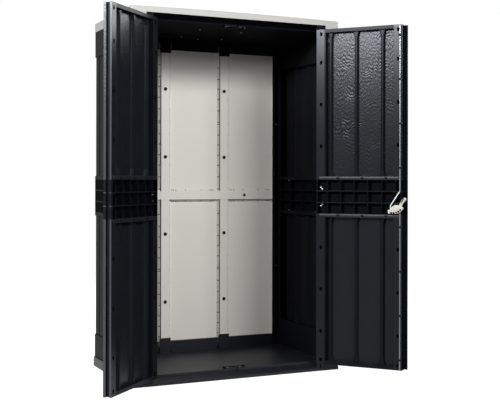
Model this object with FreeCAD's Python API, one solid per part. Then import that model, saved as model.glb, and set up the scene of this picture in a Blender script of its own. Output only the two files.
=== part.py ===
import FreeCAD, Part
import math
import os

# Tall two-door garden storage cabinet of moulded resin panels, doors standing open.
# Millimetres. +Z is up, the doors face -Y and +X is to the right of someone facing them.
# The origin is the centre of the base tray's underside, on the ground.

V = FreeCAD.Vector
UP = V(0, 0, 1)
DOWN = V(0, 0, -1)
ALONG = V(1, 0, 0)
INWARD = V(0, 1, 0)
ORIGIN = V(0, 0, 0)

# Overall sizes
cabinet_width = 1134.0
cabinet_depth = 630.0
body_height = 1804.0
roof_crown_height = 16.0

# Gaps between pieces
seat_gap = 0.3
slip_gap = 0.5
bore_gap = 0.05

# Base and ceiling trays
tray_floor_height = 42.0
tray_seat_height = 16.0
tray_lip_height = 14.0
sill_back_height = 34.0
sill_depth = 54.0
base_rim_thickness = 4.7
base_rim_height = 48.0
corner_block_height = 36.0
corner_wall = 9.0
corner_block_setback = 3.0
tray_recess_columns = 4
tray_recess_rows = 2
tray_recess_depth = 6.0
tray_rib = 24.0
upstand_height = 104.0
upstand_tab_height = 122.0
upstand_tab_width = 62.0
upstand_tab_thickness = 6.5
upstand_clearance = 1.5

# Roof cap
roof_side_inset = 2.0
roof_back_inset = 2.0
roof_wall = 2.7
roof_top_skin = 3.5
roof_skirt = 36.0
fascia_below_tray_top = 15.0
fascia_opening_margin = 18.5
roof_corner_radius = 9.0
roof_edge_chamfer = 2.5
roof_crown_drop = 5.0
roof_crown_flats = 4
roof_rib_count = 6
roof_rib_thickness = 4.0

# Side walls and their front posts
wall_thickness = 44.0
post_width = 87.0
post_depth = 50.0
post_setback = 8.0
post_round = 24.0
post_outer_round = 8.0
wall_back_flange = 40.0
wall_back_flange_thickness = 7.5
wall_back_lap = 13.5
wall_end_band = 148.0
wall_outer_band = 120.0
wall_recess_front = 70.0
wall_recess_back = 14.0
wall_first_ridge = 143.0
wall_last_ridge_inset = 70.0
wall_planks = 3

# Panel relief shared by the doors and the side walls
ridge_base = 24.0
ridge_top = 9.0
ridge_plane_depth = 14.0
field_depth = 29.0
corner_clip_width = 8.0
corner_clip_height = 30.0
outer_relief = 5.0
groove_width = 15.0
groove_depth = 7.0
joint_flange = 9.5

# Lattice belt between upper and lower panels
belt_height = 191.0
lattice_depth = 30.0
lattice_rib = 5.0
lattice_first_rib = 59.0
lattice_last_rib_inset = 34.5
lattice_columns = 5
wall_lattice_columns = 4
lattice_rows = 3
lattice_edge = 9.0
joint_screw_depth = 8.5
joint_screw_cells = (0.79, 2.59, 4.32)
notch_width = 9.0
notch_height = 7.0
notch_depth = 4.5

# Back wall
back_columns = 3
back_side_clearance = 1.5
stile_width = 47.0
stile_front_depth = 20.5
back_skin = 5.5
stile_slope = 11.0
back_rail_height = 47.0
back_joint = 3.0

# Doors
door_bottom = 41.0
door_thickness = 46.0
door_inner_setback = 50.0
centre_gap = 4.0
hinge_post_gap = 5.5
knuckle_radius = 13.0
hinge_stile = 50.0
free_stile = 42.5
door_end_flange = 18.0
door_outer_band = 100.0
door_outer_stile = 24.0
door_first_ridge = 71.5
door_last_ridge_inset = 107.0
door_planks = 2
lip_width = 16.5
lip_thickness = 5.5
lip_gap = 1.0
rabbet_width = 22.0
edge_channel_depth = 12.0
edge_channel_near = 8.0
edge_channel_width = 19.0
door_open_right = 130.5
door_open_left = 135.5

# Holes along the door stiles, as shares of half the door's height from its middle
stile_hole_width = 11.0
stile_hole_height = 14.0
stile_hole_depth = 12.0
stile_hole_shares = (0.302, 0.5517, 0.802, 0.972)
hinge_stile_hole_inset = 25.5
free_stile_hole_inset = 21.0
clip_hole_radius = 2.5

# Hinge pins
end_pin_radius = 4.5
end_pin_in_door = 30.0
end_pin_in_tray = 27.0
hinge_boss_radius = 12.0
hinge_boss_gap = 1.5
middle_pin_radius = 4.0
middle_pin_length = 74.0
middle_eye_radius = 11.0
middle_eye_height = 28.0
middle_notch_play = 2.0
middle_notch_side = 3.0
middle_notch_back = 4.0
hinge_screw_length = 12.0
hinge_screw_spots = ((15.0, 48.0), (22.5, 39.0))
bracket_plate = 4.0
bracket_plate_height = 44.0
bracket_arm = 8.0
bracket_screw_length = 16.0
bracket_screw_inset = 9.0
bracket_screw_edge = 10.0

# Three point lock on the right door
rod_radius = 3.5
rod_depth = 6.5
rod_inset = 10.0
rod_sides = 12
rod_guide_shares = (0.1713, 0.4268, 0.6824, 0.9379)
rod_guide_width = 18.0
rod_guide_height = 10.0
rod_guide_chamfer = 3.0
rod_guide_play = 0.3
rod_guide_cover = 3.0
rod_end_inset = 5.0
hub_drop = 64.0
crank_radius = 28.0
crank_rest_angle = 15.0
handle_turn = 60.0
crank_pin_radius = 3.0
eye_thickness = 6.0
eye_wall = 4.0
eye_play = 1.3
eye_chamfer = 3.2
hub_plate_thickness = 4.0
hub_half_length = 39.0
hub_half_height = 13.0
hub_collar_wall = 3.0
hub_dome_wall = 4.0
hub_dome_height = 3.0
latch_arm_length = 76.0
latch_arm_width = 14.0
latch_arm_angle = 45.0
latch_tip_chamfer = 4.0
latch_window_inset = 19.0
latch_window_length = 13.0
latch_window_width = 6.0
latch_hook_inset = 4.0
latch_hook_length = 10.0
spindle_side = 8.0
spindle_bore_radius = 6.0
spindle_boss_wall = 9.0
spindle_boss_inset = 2.0
rod_bend_run = 73.0
rod_bend_above_hub = 23.0
rod_bend_radius = 16.0
rod_bend_flats = 3
rosette_radius = 26.0
rosette_thickness = 4.0
rosette_screw_depth = 12.0
rosette_screw_inset = 7.0
rosette_sides = 16
rosette_chamfer = 1.5
handle_length = 112.0
handle_width = 24.0
handle_thickness = 15.0
handle_standoff = 8.0
handle_chamfer = 3.5

# Keepers that the lock rods drop into
keeper_half_length = 56.0
keeper_depth = 30.0
keeper_behind_sill = 1.0
keeper_plate = 2.0
keeper_lug_height = 12.0
keeper_lug_thickness = 9.0
keeper_lug_top = 8.0
keeper_rear_lip = 3.0
rod_hole_play = 2.5
keeper_screw_length = 11.0
keeper_screw_inset = 22.0
keeper_screw_behind_rod = 13.0

# Screws and plugs
screw_shank_radius = 2.0
screw_head_radius = 4.5
screw_head_height = 2.5
small_head_radius = 3.5
small_head_height = 1.6
screw_sides = 4
screw_head_sides = 6
round_sides = 12
wall_screw_front = 175.0
wall_screw_back = 145.0
plug_radius = 6.5
plug_height = 3.0
plug_length = 16.0
plug_shares = (0.2388, 0.6577)
corner_screw_share = 0.4584
corner_screw_length = 19.0
roof_screw_side = 117.0
roof_screw_front = 244.0
roof_screw_back = 122.0
roof_screw_mid_back = 67.0
roof_boss_radius = 9.0
roof_screw_length = 48.0

# Places worked out from the sizes above
front = -cabinet_depth / 2
mid_z = body_height / 2
wall_outer = cabinet_width / 2 - base_rim_thickness - seat_gap
wall_inner = wall_outer - wall_thickness
post_inner = wall_outer - post_width
hinge_x = post_inner - hinge_post_gap - knuckle_radius
hinge_inset = door_thickness - knuckle_radius
door_inner = front + door_inner_setback
hinge_y = door_inner - hinge_inset
door_width = hinge_x - centre_gap / 2
door_top = body_height - door_bottom
door_half_height = mid_z - door_bottom
belt_low = mid_z - belt_height / 2
belt_high = mid_z + belt_height / 2
hinge_boss_top = door_bottom - hinge_boss_gap
end_pin_foot = hinge_boss_top - end_pin_in_tray
back_outer = cabinet_depth / 2 - base_rim_thickness - seat_gap
stile_front = back_outer - stile_front_depth
field_front = back_outer - back_skin
wall_seat_low = tray_seat_height + seat_gap
wall_seat_high = body_height - wall_seat_low
wall_half_height = mid_z - wall_seat_low
back_lap_face = wall_inner + wall_thickness - wall_back_lap
back_pitch = (2 * (back_lap_face - back_side_clearance) - stile_width) / back_columns
door_plank_pitch = (door_width - door_first_ridge - door_last_ridge_inset) / door_planks
wall_plank_pitch = (cabinet_depth - wall_first_ridge - wall_last_ridge_inset) / wall_planks
door_lattice_pitch = (door_width - lattice_first_rib - lattice_last_rib_inset) / lattice_columns
wall_recess_end = stile_front - front - wall_recess_back
wall_lattice_pitch = (wall_recess_end - wall_recess_front) / wall_lattice_columns
joint_screw_insets = tuple(lattice_first_rib + cell * door_lattice_pitch for cell in joint_screw_cells)
wall_screw_insets = (wall_screw_front, cabinet_depth - wall_screw_back)
stile_hole_heights = tuple(share * door_half_height for share in stile_hole_shares)
rod_guide_heights = tuple(share * door_half_height for share in rod_guide_shares)
plug_heights = tuple(share * wall_half_height for share in plug_shares)
corner_screw_height = corner_screw_share * wall_half_height
rod_u = door_width - rod_inset
hub_u = rod_u - crank_radius * (1 + math.cos(math.radians(handle_turn - crank_rest_angle))) / 2
hub_z = mid_z - hub_drop
crank_rest_rise = crank_radius * math.sin(math.radians(crank_rest_angle))
rod_travel = crank_rest_rise + crank_radius * math.sin(math.radians(handle_turn - crank_rest_angle))
os.makedirs("parts", exist_ok=True)


def block(x0, x1, y0, y1, z0, z1):
    return Part.makeBox(x1 - x0, y1 - y0, z1 - z0, V(x0, y0, z0))


def rod_along_z(x, y, radius, z0, z1):
    return Part.makeCylinder(radius, z1 - z0, V(x, y, z0), UP)


def rod_along_y(x, z, radius, y0, y1):
    return Part.makeCylinder(radius, y1 - y0, V(x, y0, z), V(0, 1, 0))


def few_sided_ring(base, direction, radius, sides):
    # Regular polygon across direction; radius reaches its corners.
    start = Part.makeCircle(radius, base, direction)
    corners = [start.valueAt(2 * math.pi * (i + 0.5) / sides) for i in range(sides)]
    return Part.makePolygon(corners + corners[:1])


def few_sided_bar(base, direction, radius, length, sides):
    return Part.Face(few_sided_ring(base, direction, radius, sides)).extrude(direction * length)


def screw(head_seat, direction, length, head_radius=None, head_height=None):
    # Plain screw: the head stands on head_seat and the shank runs along direction.
    radius = head_radius or screw_head_radius
    height = head_height or screw_head_height
    shank = few_sided_bar(head_seat, direction, screw_shank_radius, length, screw_sides)
    head = few_sided_bar(head_seat - direction * height, direction, radius, height, screw_head_sides)
    return join([shank, head])


def screw_bore(head_seat, direction, length):
    # Hole for such a screw, started a little outside its seat.
    bore_radius = screw_shank_radius + bore_gap
    return few_sided_bar(head_seat - direction, direction, bore_radius, length + 2, screw_sides)


def prism(points, z0, z1):
    corners = [V(x, y, z0) for x, y in points]
    outline = Part.makePolygon(corners + corners[:1])
    return Part.Face(outline).extrude(V(0, 0, z1 - z0))


def profile_along_x(points, x0, x1):
    corners = [V(x0, y, z) for y, z in points]
    outline = Part.makePolygon(corners + corners[:1])
    return Part.Face(outline).extrude(V(x1 - x0, 0, 0))


def arc_edge(centre, radius, start, middle):
    # A quarter of a circle from angle start, through angle middle, in degrees.
    angles = (start, middle, 2 * middle - start)
    spots = [
        V(centre[0] + radius * math.cos(math.radians(a)), centre[1] + radius * math.sin(math.radians(a)), 0)
        for a in angles
    ]
    return Part.Arc(*spots).toShape()


def section_prism(pieces, z0, z1):
    # Extrudes a plan outline made of corner points and arc edges, taken in order.
    edges = []
    last = None
    first = None
    for piece in pieces:
        if isinstance(piece, tuple):
            start = end = V(piece[0], piece[1], 0)
        else:
            start, end = piece.Vertexes[0].Point, piece.Vertexes[-1].Point
        if last is not None and last.distanceToPoint(start) > 1e-6:
            edges.append(Part.makeLine(last, start))
        if not isinstance(piece, tuple):
            edges.append(piece)
        first = first or start
        last = end
    edges.append(Part.makeLine(last, first))
    outline = Part.Wire(edges)
    outline.translate(V(0, 0, z0))
    return Part.Face(outline).extrude(V(0, 0, z1 - z0))


def join(pieces):
    return pieces[0].multiFuse(pieces[1:]).removeSplitter()


def flip_height(shape):
    # The same piece turned over about mid height, as a mirror image.
    return shape.mirror(V(0, 0, mid_z), UP)


def to_left(shape):
    return shape.mirror(ORIGIN, V(1, 0, 0))


def save(name, shape):
    shape.exportStep("parts/" + name + ".step")
    print(name, len(shape.Solids), shape.isValid())


def group(shapes):
    return Part.makeCompound(shapes)


# Panel relief: u runs along the panel, w from its inner face outwards, z up.

def ridge_places(first, last, pitch):
    places = []
    place = first
    while place + ridge_base / 2 < last:
        places.append(place)
        place += pitch
    return places


def plank_pocket(u0, u1, slope0, slope1, z0, z1):
    # A sunk plank between two ridges: clipped corners, and sides that slope where a ridge is.
    run = (ridge_base - ridge_top) / 2
    levels = ((field_depth, 0.0), (ridge_plane_depth, run))
    clip0 = corner_clip_width if slope0 and u1 - u0 > 2.5 * corner_clip_width else 0.0
    clip1 = corner_clip_width if slope1 and u1 - u0 > 2.5 * corner_clip_width else 0.0
    wires = []
    for depth, spread in levels:
        a = u0 - (spread if slope0 else 0.0)
        b = u1 + (spread if slope1 else 0.0)
        rise0 = corner_clip_height if clip0 else 0.0
        rise1 = corner_clip_height if clip1 else 0.0
        corners = [(a + clip0, z0), (b - clip1, z0)]
        if clip1:
            corners += [(b, z0 + rise1), (b, z1 - rise1)]
        corners += [(b - clip1, z1), (a + clip0, z1)]
        if clip0:
            corners += [(a, z1 - rise0), (a, z0 + rise0)]
        points = [V(u, depth, z) for u, z in corners]
        wires.append(Part.makePolygon(points + points[:1]))
    return Part.makeLoft(wires, True, True)


def panel_relief(u0, u1, first_ridge, pitch, z0, z1):
    # Everything cut from the inner face of a planked panel between its stiles and flanges.
    cuts = [block(u0, u1, -1, ridge_plane_depth, z0, z1)]
    ridges = ridge_places(first_ridge, u1, pitch)
    half = ridge_base / 2
    starts = [u0] + [r + half for r in ridges]
    ends = [r - half for r in ridges] + [u1]
    for i in range(len(starts)):
        if ends[i] - starts[i] > half / 2:
            cuts.append(plank_pocket(starts[i], ends[i], i > 0, i < len(ridges), z0, z1))
    return cuts


def outer_planks(u0, u1, first_ridge, pitch, face, z0, z1):
    # The outer face: planks set back from the bands, with a groove behind each ridge.
    level = face - outer_relief
    cuts = [block(u0, u1, level, face + 1, z0, z1)]
    for r in ridge_places(first_ridge, u1, pitch):
        if r - groove_width / 2 > u0:
            corners = [
                (r - groove_width / 2, level),
                (r, level - groove_depth),
                (r + groove_width / 2, level),
                (r + groove_width / 2, level + 1),
                (r - groove_width / 2, level + 1),
            ]
            cuts.append(prism(corners, z0, z1))
    return cuts


def lattice_cells(u0, u1, first_rib, pitch):
    # Open cells of the belt, in rows and columns between thin ribs.
    z0 = belt_low + joint_flange
    z1 = belt_high - joint_flange
    ribs = [u0 - lattice_rib / 2]
    rib = first_rib
    while rib < u1 - 2 * lattice_rib:
        if rib > u0 + lattice_rib:
            ribs.append(rib)
        rib += pitch
    ribs.append(u1 + lattice_rib / 2)
    row = (z1 - z0 + lattice_rib) / lattice_rows
    cells = []
    for i in range(len(ribs) - 1):
        for j in range(lattice_rows):
            low = z0 + j * row
            cells.append(
                block(ribs[i] + lattice_rib / 2, ribs[i + 1] - lattice_rib / 2, -1, lattice_depth,
                      low, low + row - lattice_rib))
    return cells


def joint_screws(insets, place):
    # Screws that stand in the belt's lowest cells and bite into the panel below, and their mirror images.
    screws = []
    for u in insets:
        low = place(screw(V(u, joint_screw_depth, belt_low + joint_flange), DOWN, 2 * joint_flange - 1))
        screws += [low, flip_height(low)]
    return screws


def joint_bores(insets):
    bores = []
    for u in insets:
        bore = screw_bore(V(u, joint_screw_depth, belt_low + joint_flange), DOWN, 2 * joint_flange - 1)
        bores += [bore, flip_height(bore)]
    return bores


def joint_notches(insets):
    # Small notch across the joint in front of each screw.
    notches = []
    for u in insets:
        notch = block(u - notch_width / 2, u + notch_width / 2, -1, notch_depth,
                      belt_low - notch_height / 2, belt_low + notch_height / 2)
        notches += [notch, flip_height(notch)]
    return notches


# Doors, drawn closed: u from the hinge edge of the inner face, w outwards, z up.

def door_blank(with_lip, z0, z1):
    centre = (0.0, hinge_inset)
    knuckle = arc_edge(centre, knuckle_radius, 180.0, 135.0)
    outline = [(door_width, 0.0), (0.0, 0.0), knuckle, (door_width, door_thickness)]
    blank = section_prism(outline, z0, z1)
    if with_lip:
        lip_front = door_thickness - lip_thickness
        lip = block(door_width - 1, door_width + lip_width, lip_front, door_thickness, z0, z1)
        return join([blank, lip])
    rabbet_floor = door_thickness - lip_thickness - lip_gap
    rabbet = block(door_width - rabbet_width, door_width + 1, rabbet_floor, door_thickness + 1, z0, z1)
    channel = block(door_width - edge_channel_depth, door_width + 1, edge_channel_near,
                    edge_channel_near + edge_channel_width, z0 - 1, z1 + 1)
    return blank.cut([rabbet, channel])


def stile_holes(with_clips):
    # Sockets down both stiles; the door without a lock also has the empty holes for rod clips.
    half_u = stile_hole_width / 2
    half_z = stile_hole_height / 2
    holes = []
    for height in stile_hole_heights:
        z = mid_z - height
        for u in (hinge_stile_hole_inset, door_width - free_stile_hole_inset):
            holes.append(block(u - half_u, u + half_u, -1, stile_hole_depth, z - half_z, z + half_z))
    if with_clips:
        for height in rod_guide_heights:
            seat = V(rod_u, -1, mid_z - height)
            holes.append(few_sided_bar(seat, INWARD, clip_hole_radius, edge_channel_near - 2, screw_sides))
    return holes


def door_lower_panel(with_lip):
    blank = door_blank(with_lip, door_bottom, belt_low)
    z0 = door_bottom + door_end_flange
    z1 = belt_low - joint_flange
    cuts = panel_relief(hinge_stile, door_width - free_stile, door_first_ridge, door_plank_pitch, z0, z1)
    outer_z0 = door_bottom + door_outer_band
    cuts += outer_planks(door_outer_stile, door_width - door_outer_stile, door_first_ridge,
                         door_plank_pitch, door_thickness, outer_z0, z1)
    cuts += stile_holes(not with_lip)
    cuts += joint_bores(joint_screw_insets) + joint_notches(joint_screw_insets)
    pin_end = door_bottom + end_pin_in_door + 2
    cuts.append(rod_along_z(0, hinge_inset, end_pin_radius + bore_gap, door_bottom - 1, pin_end))
    return blank.cut(cuts)


def middle_pin_span():
    return mid_z - middle_pin_length / 2, mid_z + middle_pin_length / 2


def door_belt(with_lip):
    blank = door_blank(with_lip, belt_low, belt_high)
    end_wall = lattice_edge if with_lip else edge_channel_depth + lattice_rib
    cuts = lattice_cells(lattice_edge, door_width - end_wall, lattice_first_rib, door_lattice_pitch)
    half_notch = middle_eye_height / 2 + middle_notch_play
    notch_front = hinge_inset - middle_eye_radius - middle_notch_back
    notch = block(-knuckle_radius - 1, middle_eye_radius + middle_notch_side,
                  notch_front, door_thickness + 1, mid_z - half_notch, mid_z + half_notch)
    pin_low, pin_high = middle_pin_span()
    pin_bore = rod_along_z(0, hinge_inset, middle_pin_radius + bore_gap, pin_low, pin_high)
    cuts += [notch, pin_bore] + joint_bores(joint_screw_insets) + joint_notches(joint_screw_insets)
    belt = blank.cut(cuts)
    if with_lip:
        boss_radius = spindle_bore_radius + spindle_boss_wall
        boss = rod_along_y(hub_u, hub_z, boss_radius, 0, door_thickness - spindle_boss_inset)
        bore = rod_along_y(hub_u, hub_z, spindle_bore_radius + bore_gap, -1, door_thickness + 1)
        belt = join([belt, boss]).cut([bore] + rosette_screw_bores())
    bores = [screw_bore(V(u, lattice_depth, z), INWARD, hinge_screw_length) for u, z in hinge_screw_places()]
    return belt.cut(bores)


def hinge_screw_places():
    return [(u, mid_z + side * rise) for u, rise in hinge_screw_spots for side in (-1, 1)]


def hinge_screws():
    return [screw(V(u, lattice_depth, z), INWARD, hinge_screw_length - 1) for u, z in hinge_screw_places()]


def middle_pin():
    pin_low, pin_high = middle_pin_span()
    return rod_along_z(0, hinge_inset, middle_pin_radius, pin_low, pin_high)


def close_right(shape):
    # From door coordinates to the closed right door's place in the cabinet.
    placed = shape.copy()
    placed.rotate(ORIGIN, UP, 180)
    placed.translate(V(hinge_x, door_inner, 0))
    return placed


def open_right(shape):
    placed = close_right(shape)
    placed.rotate(V(hinge_x, hinge_y, 0), UP, door_open_right)
    return placed


def open_left(shape):
    placed = to_left(close_right(shape))
    placed.rotate(V(-hinge_x, hinge_y, 0), UP, -door_open_left)
    return placed


# Lock parts, in the same door coordinates; the cabinet's inside is at negative w.

def slotted_eye(u, z):
    # Flat eye on a rod's end; the slot lets the crank pin move sideways as it turns.
    reach = crank_radius * (1 - math.cos(math.radians(handle_turn - crank_rest_angle))) / 2
    half_u = reach + crank_pin_radius + eye_play
    half_z = crank_pin_radius + eye_play
    near = -rod_depth - eye_thickness / 2
    far = -rod_depth + eye_thickness / 2
    reach_u = half_u + eye_wall
    reach_z = half_z + eye_wall
    body = block(u - reach_u, u + reach_u, near, far, z - reach_z, z + reach_z)
    corners = [e for e in body.Edges if abs(e.Vertexes[0].Y - e.Vertexes[-1].Y) > 1]
    body = body.makeChamfer(eye_chamfer, corners)
    slot = block(u - half_u, u + half_u, near - 1, far + 1, z - half_z, z + half_z)
    return body.cut(slot)


def upper_rod():
    # Straight up the stile, bent across to the crank's hinge side at its foot.
    eye_u = 2 * hub_u - rod_u
    eye_z = hub_z - crank_rest_rise
    knee_z = hub_z + rod_bend_above_hub
    points = [
        V(rod_u, -rod_depth, door_top - rod_end_inset),
        V(rod_u, -rod_depth, knee_z + rod_bend_run),
        V(eye_u, -rod_depth, knee_z),
        V(eye_u, -rod_depth, eye_z + crank_pin_radius + eye_play + eye_wall / 2),
    ]
    path = bent_path(points, rod_bend_radius, rod_bend_flats)
    ring = few_sided_ring(points[0], DOWN, rod_radius, rod_sides)
    right_corners = 1
    bar = path.makePipeShell([ring], True, False, right_corners)
    return join([bar, slotted_eye(eye_u, eye_z)])


def bent_path(points, radius, flats):
    # Straight runs joined by tangent arcs of one radius, each arc in a few short chords.
    corners = [points[0]]
    for i in range(1, len(points) - 1):
        before = (points[i] - points[i - 1]).normalize()
        after = (points[i + 1] - points[i]).normalize()
        turn = before.getAngle(after)
        arc_start = points[i] - before * (radius * math.tan(turn / 2))
        inward = (after - before).normalize()
        centre = points[i] + inward * (radius / math.cos(turn / 2))
        axis = before.cross(after)
        for k in range(flats + 1):
            swing = FreeCAD.Rotation(axis, math.degrees(turn) * k / flats)
            corners.append(centre + swing.multVec(arc_start - centre))
    return Part.makePolygon(corners + [points[-1]])


def lower_rod():
    eye_z = hub_z + crank_rest_rise
    top = eye_z - crank_pin_radius - eye_play - eye_wall / 2
    foot = door_bottom + rod_end_inset
    bar = few_sided_bar(V(rod_u, -rod_depth, foot), UP, rod_radius, top - foot, rod_sides)
    return join([bar, slotted_eye(rod_u, eye_z)])


def rod_guides():
    guides = []
    for height in rod_guide_heights:
        for z in (mid_z - height, mid_z + height):
            body = block(rod_u - rod_guide_width / 2, rod_u + rod_guide_width / 2,
                         -rod_depth - rod_radius - rod_guide_cover, 0,
                         z - rod_guide_height / 2, z + rod_guide_height / 2)
            corners = [e for e in body.Edges if e.Vertexes[0].Y < -1 and e.Vertexes[-1].Y < -1
                       and abs(e.Vertexes[0].Z - e.Vertexes[-1].Z) > 1]
            body = body.makeChamfer(rod_guide_chamfer, corners)
            half = rod_radius + rod_guide_play
            low = z - rod_guide_height
            high = z + rod_guide_height
            channel = block(rod_u - half, rod_u + half, -rod_depth - half, 1, low, high)
            guides.append(body.cut(channel))
    return guides


def lens_plate(half_length, half_height, y0, y1):
    # Pointed oval between two equal arcs, flat in the plane of the door.
    left = V(-half_length, y0, 0)
    right = V(half_length, y0, 0)
    over = Part.Arc(left, V(0, y0, half_height), right).toShape()
    under = Part.Arc(right, V(0, y0, -half_height), left).toShape()
    return Part.Face(Part.Wire([over, under])).extrude(V(0, y1 - y0, 0))


def lock_hub():
    # Crank plate with two pins, a bearing collar and the latch arm that holds the left door.
    face = -rod_depth - eye_thickness / 2 - slip_gap
    back = face - hub_plate_thickness
    pin_tip = -rod_depth + eye_thickness / 2
    plate = lens_plate(hub_half_length, hub_half_height, back, face)
    reach = pin_tip - face + 1
    pins = [few_sided_bar(V(side * crank_radius, face - 1, 0), INWARD, crank_pin_radius, reach, round_sides)
            for side in (-1, 1)]
    collar_length = -slip_gap - face + 1
    collar_radius = spindle_bore_radius + hub_collar_wall
    collar = few_sided_bar(V(0, face - 1, 0), INWARD, collar_radius, collar_length, round_sides)
    dome_radius = spindle_bore_radius + hub_dome_wall
    dome_foot = V(0, back - hub_dome_height, 0)
    dome = few_sided_bar(dome_foot, INWARD, dome_radius, hub_dome_height + 1, round_sides)
    crank = join([plate, collar, dome] + pins)
    crank.rotate(ORIGIN, V(0, 1, 0), -crank_rest_angle)
    half = latch_arm_width / 2
    arm = block(0, latch_arm_length, back, face, -half, half)
    tip = [e for e in arm.Edges if e.Vertexes[0].X > 1 and e.Vertexes[-1].X > 1
           and abs(e.Vertexes[0].Y - e.Vertexes[-1].Y) > 1]
    arm = arm.makeChamfer(latch_tip_chamfer, tip)
    window_end = latch_arm_length - latch_window_inset
    window_half = latch_window_width / 2
    window = block(window_end - latch_window_length, window_end, back - 1, back + hub_plate_thickness / 2,
                   -window_half, window_half)
    hook_end = latch_arm_length - latch_hook_inset
    hook = block(hook_end - latch_hook_length, hook_end, face - 1, -1, -half + 1, half - 1)
    arm = join([arm, hook]).cut(window)
    arm.rotate(ORIGIN, V(0, 1, 0), -latch_arm_angle)
    hub = join([crank, arm])
    half_side = spindle_side / 2 + bore_gap
    socket = block(-half_side, half_side, back - 1, 0, -half_side, half_side)
    hub = hub.cut(socket)
    hub.translate(V(hub_u, 0, hub_z))
    return hub


def spindle():
    back = -rod_depth - eye_thickness / 2 - slip_gap - hub_plate_thickness
    far = door_thickness + rosette_thickness + handle_standoff + handle_thickness / 2
    half = spindle_side / 2
    bar = block(hub_u - half, hub_u + half, back, far, hub_z - half, hub_z + half)
    return bar


def rosette():
    centre = V(hub_u, door_thickness, hub_z)
    plate = few_sided_bar(centre, INWARD, rosette_radius, rosette_thickness, rosette_sides)
    rim = [e for e in plate.Edges if abs(e.CenterOfMass.y - door_thickness - rosette_thickness) < 0.01]
    plate = plate.makeChamfer(rosette_chamfer, rim)
    outer = door_thickness + rosette_thickness + 1
    bore = rod_along_y(hub_u, hub_z, spindle_bore_radius + bore_gap, door_thickness - 1, outer)
    return plate.cut([bore] + rosette_screw_bores())


def rosette_screw_places():
    ring = rosette_radius - rosette_screw_inset
    return [(hub_u, hub_z - ring), (hub_u, hub_z + ring)]


def rosette_screw_seats():
    return [V(u, door_thickness + rosette_thickness, z) for u, z in rosette_screw_places()]


def rosette_screw_bores():
    depth = rosette_thickness + rosette_screw_depth
    return [screw_bore(seat, -INWARD, depth) for seat in rosette_screw_seats()]


def rosette_screws():
    length = rosette_thickness + rosette_screw_depth - 1
    return [screw(seat, -INWARD, length, small_head_radius, small_head_height)
            for seat in rosette_screw_seats()]


def outside_handle():
    # A lever with a round hub; it hangs down when the lock is open.
    near = door_thickness + rosette_thickness + handle_standoff
    far = near + handle_thickness
    half = handle_width / 2
    lever = block(hub_u - half, hub_u + half, near, far, hub_z - handle_length + half, hub_z)
    corner_reach = half / math.cos(math.pi / round_sides)
    end = V(hub_u, near, hub_z - handle_length + half)
    foot = few_sided_bar(end, INWARD, corner_reach, handle_thickness, round_sides)
    head = few_sided_bar(V(hub_u, near, hub_z), INWARD, corner_reach, handle_thickness, round_sides)
    neck_start = door_thickness + rosette_thickness + slip_gap
    neck_radius = spindle_bore_radius + hub_dome_wall
    neck_length = near + 1 - neck_start
    neck = few_sided_bar(V(hub_u, neck_start, hub_z), INWARD, neck_radius, neck_length, round_sides)
    lever = join([lever, foot, head])
    rim = [e for e in lever.Edges if abs(e.CenterOfMass.y - far) < 0.01]
    lever = lever.makeChamfer(handle_chamfer, rim)
    side = spindle_side / 2 + bore_gap
    socket_end = near + handle_thickness / 2 + 1
    socket_start = near - handle_standoff - 1
    socket = block(hub_u - side, hub_u + side, socket_start, socket_end, hub_z - side, hub_z + side)
    return join([lever, neck]).cut(socket)


# Trays: drawn as the base; the ceiling is the same moulding turned over.

def tray(half_width, y0, y1, rim):
    shell = block(-half_width, half_width, y0, y1, 0, tray_floor_height)
    sill = profile_along_x([
        (y0 - 1, tray_lip_height),
        (y0, tray_lip_height),
        (front + sill_depth, sill_back_height),
        (front + sill_depth, tray_floor_height + 1),
        (y0 - 1, tray_floor_height + 1),
    ], -half_width - 1, half_width + 1)
    shell = shell.cut(sill)
    corner_in = post_inner - slip_gap
    pieces = [shell]
    for side in (-1, 1):
        low, high = sorted((side * (corner_in - corner_wall), side * half_width))
        block_front = y0 + corner_block_setback
        pieces.append(block(low, high, block_front, front + sill_depth + 1, 0, corner_block_height))
        boss_foot = V(side * hinge_x, hinge_y, 0)
        pieces.append(few_sided_bar(boss_foot, UP, hinge_boss_radius, hinge_boss_top, round_sides))
    if rim:
        rim_in = half_width - base_rim_thickness
        pieces += [
            block(-half_width, -rim_in, y0 + post_setback, y1, 0, base_rim_height),
            block(rim_in, half_width, y0 + post_setback, y1, 0, base_rim_height),
            block(-half_width, half_width, y1 - base_rim_thickness, y1, 0, base_rim_height),
        ]
    body = join(pieces)
    cuts = tray_channels(half_width, y1, rim)
    if rim:
        cuts += tray_recesses()
    for side in (-1, 1):
        pin_bore = end_pin_radius + bore_gap
        cuts.append(rod_along_z(side * hinge_x, hinge_y, pin_bore, end_pin_foot, door_bottom))
    cuts.append(keeper_hole(-1, tray_floor_height + 2))
    cuts += keeper_screw_bores()
    body = body.cut(cuts)
    return join([body] + tray_upstand())


def tray_channels(half_width, y1, rim):
    # Seats for the side walls, their posts and the back wall.
    edge = wall_outer + seat_gap if rim else half_width + 1
    back_edge = back_outer + seat_gap if rim else y1 + 1
    ceiling = base_rim_height + 1
    cuts = [block(-edge, edge, stile_front - slip_gap, back_edge, tray_seat_height, ceiling)]
    for side in (-1, 1):
        low, high = sorted((side * (wall_inner - slip_gap), side * edge))
        cuts.append(block(low, high, front + post_setback, back_edge, tray_seat_height, ceiling))
        low, high = sorted((side * (post_inner - slip_gap), side * edge))
        post_back = front + post_setback + post_depth
        cuts.append(block(low, high, front + post_setback - slip_gap, post_back + slip_gap,
                          tray_seat_height, ceiling))
    return cuts


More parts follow.
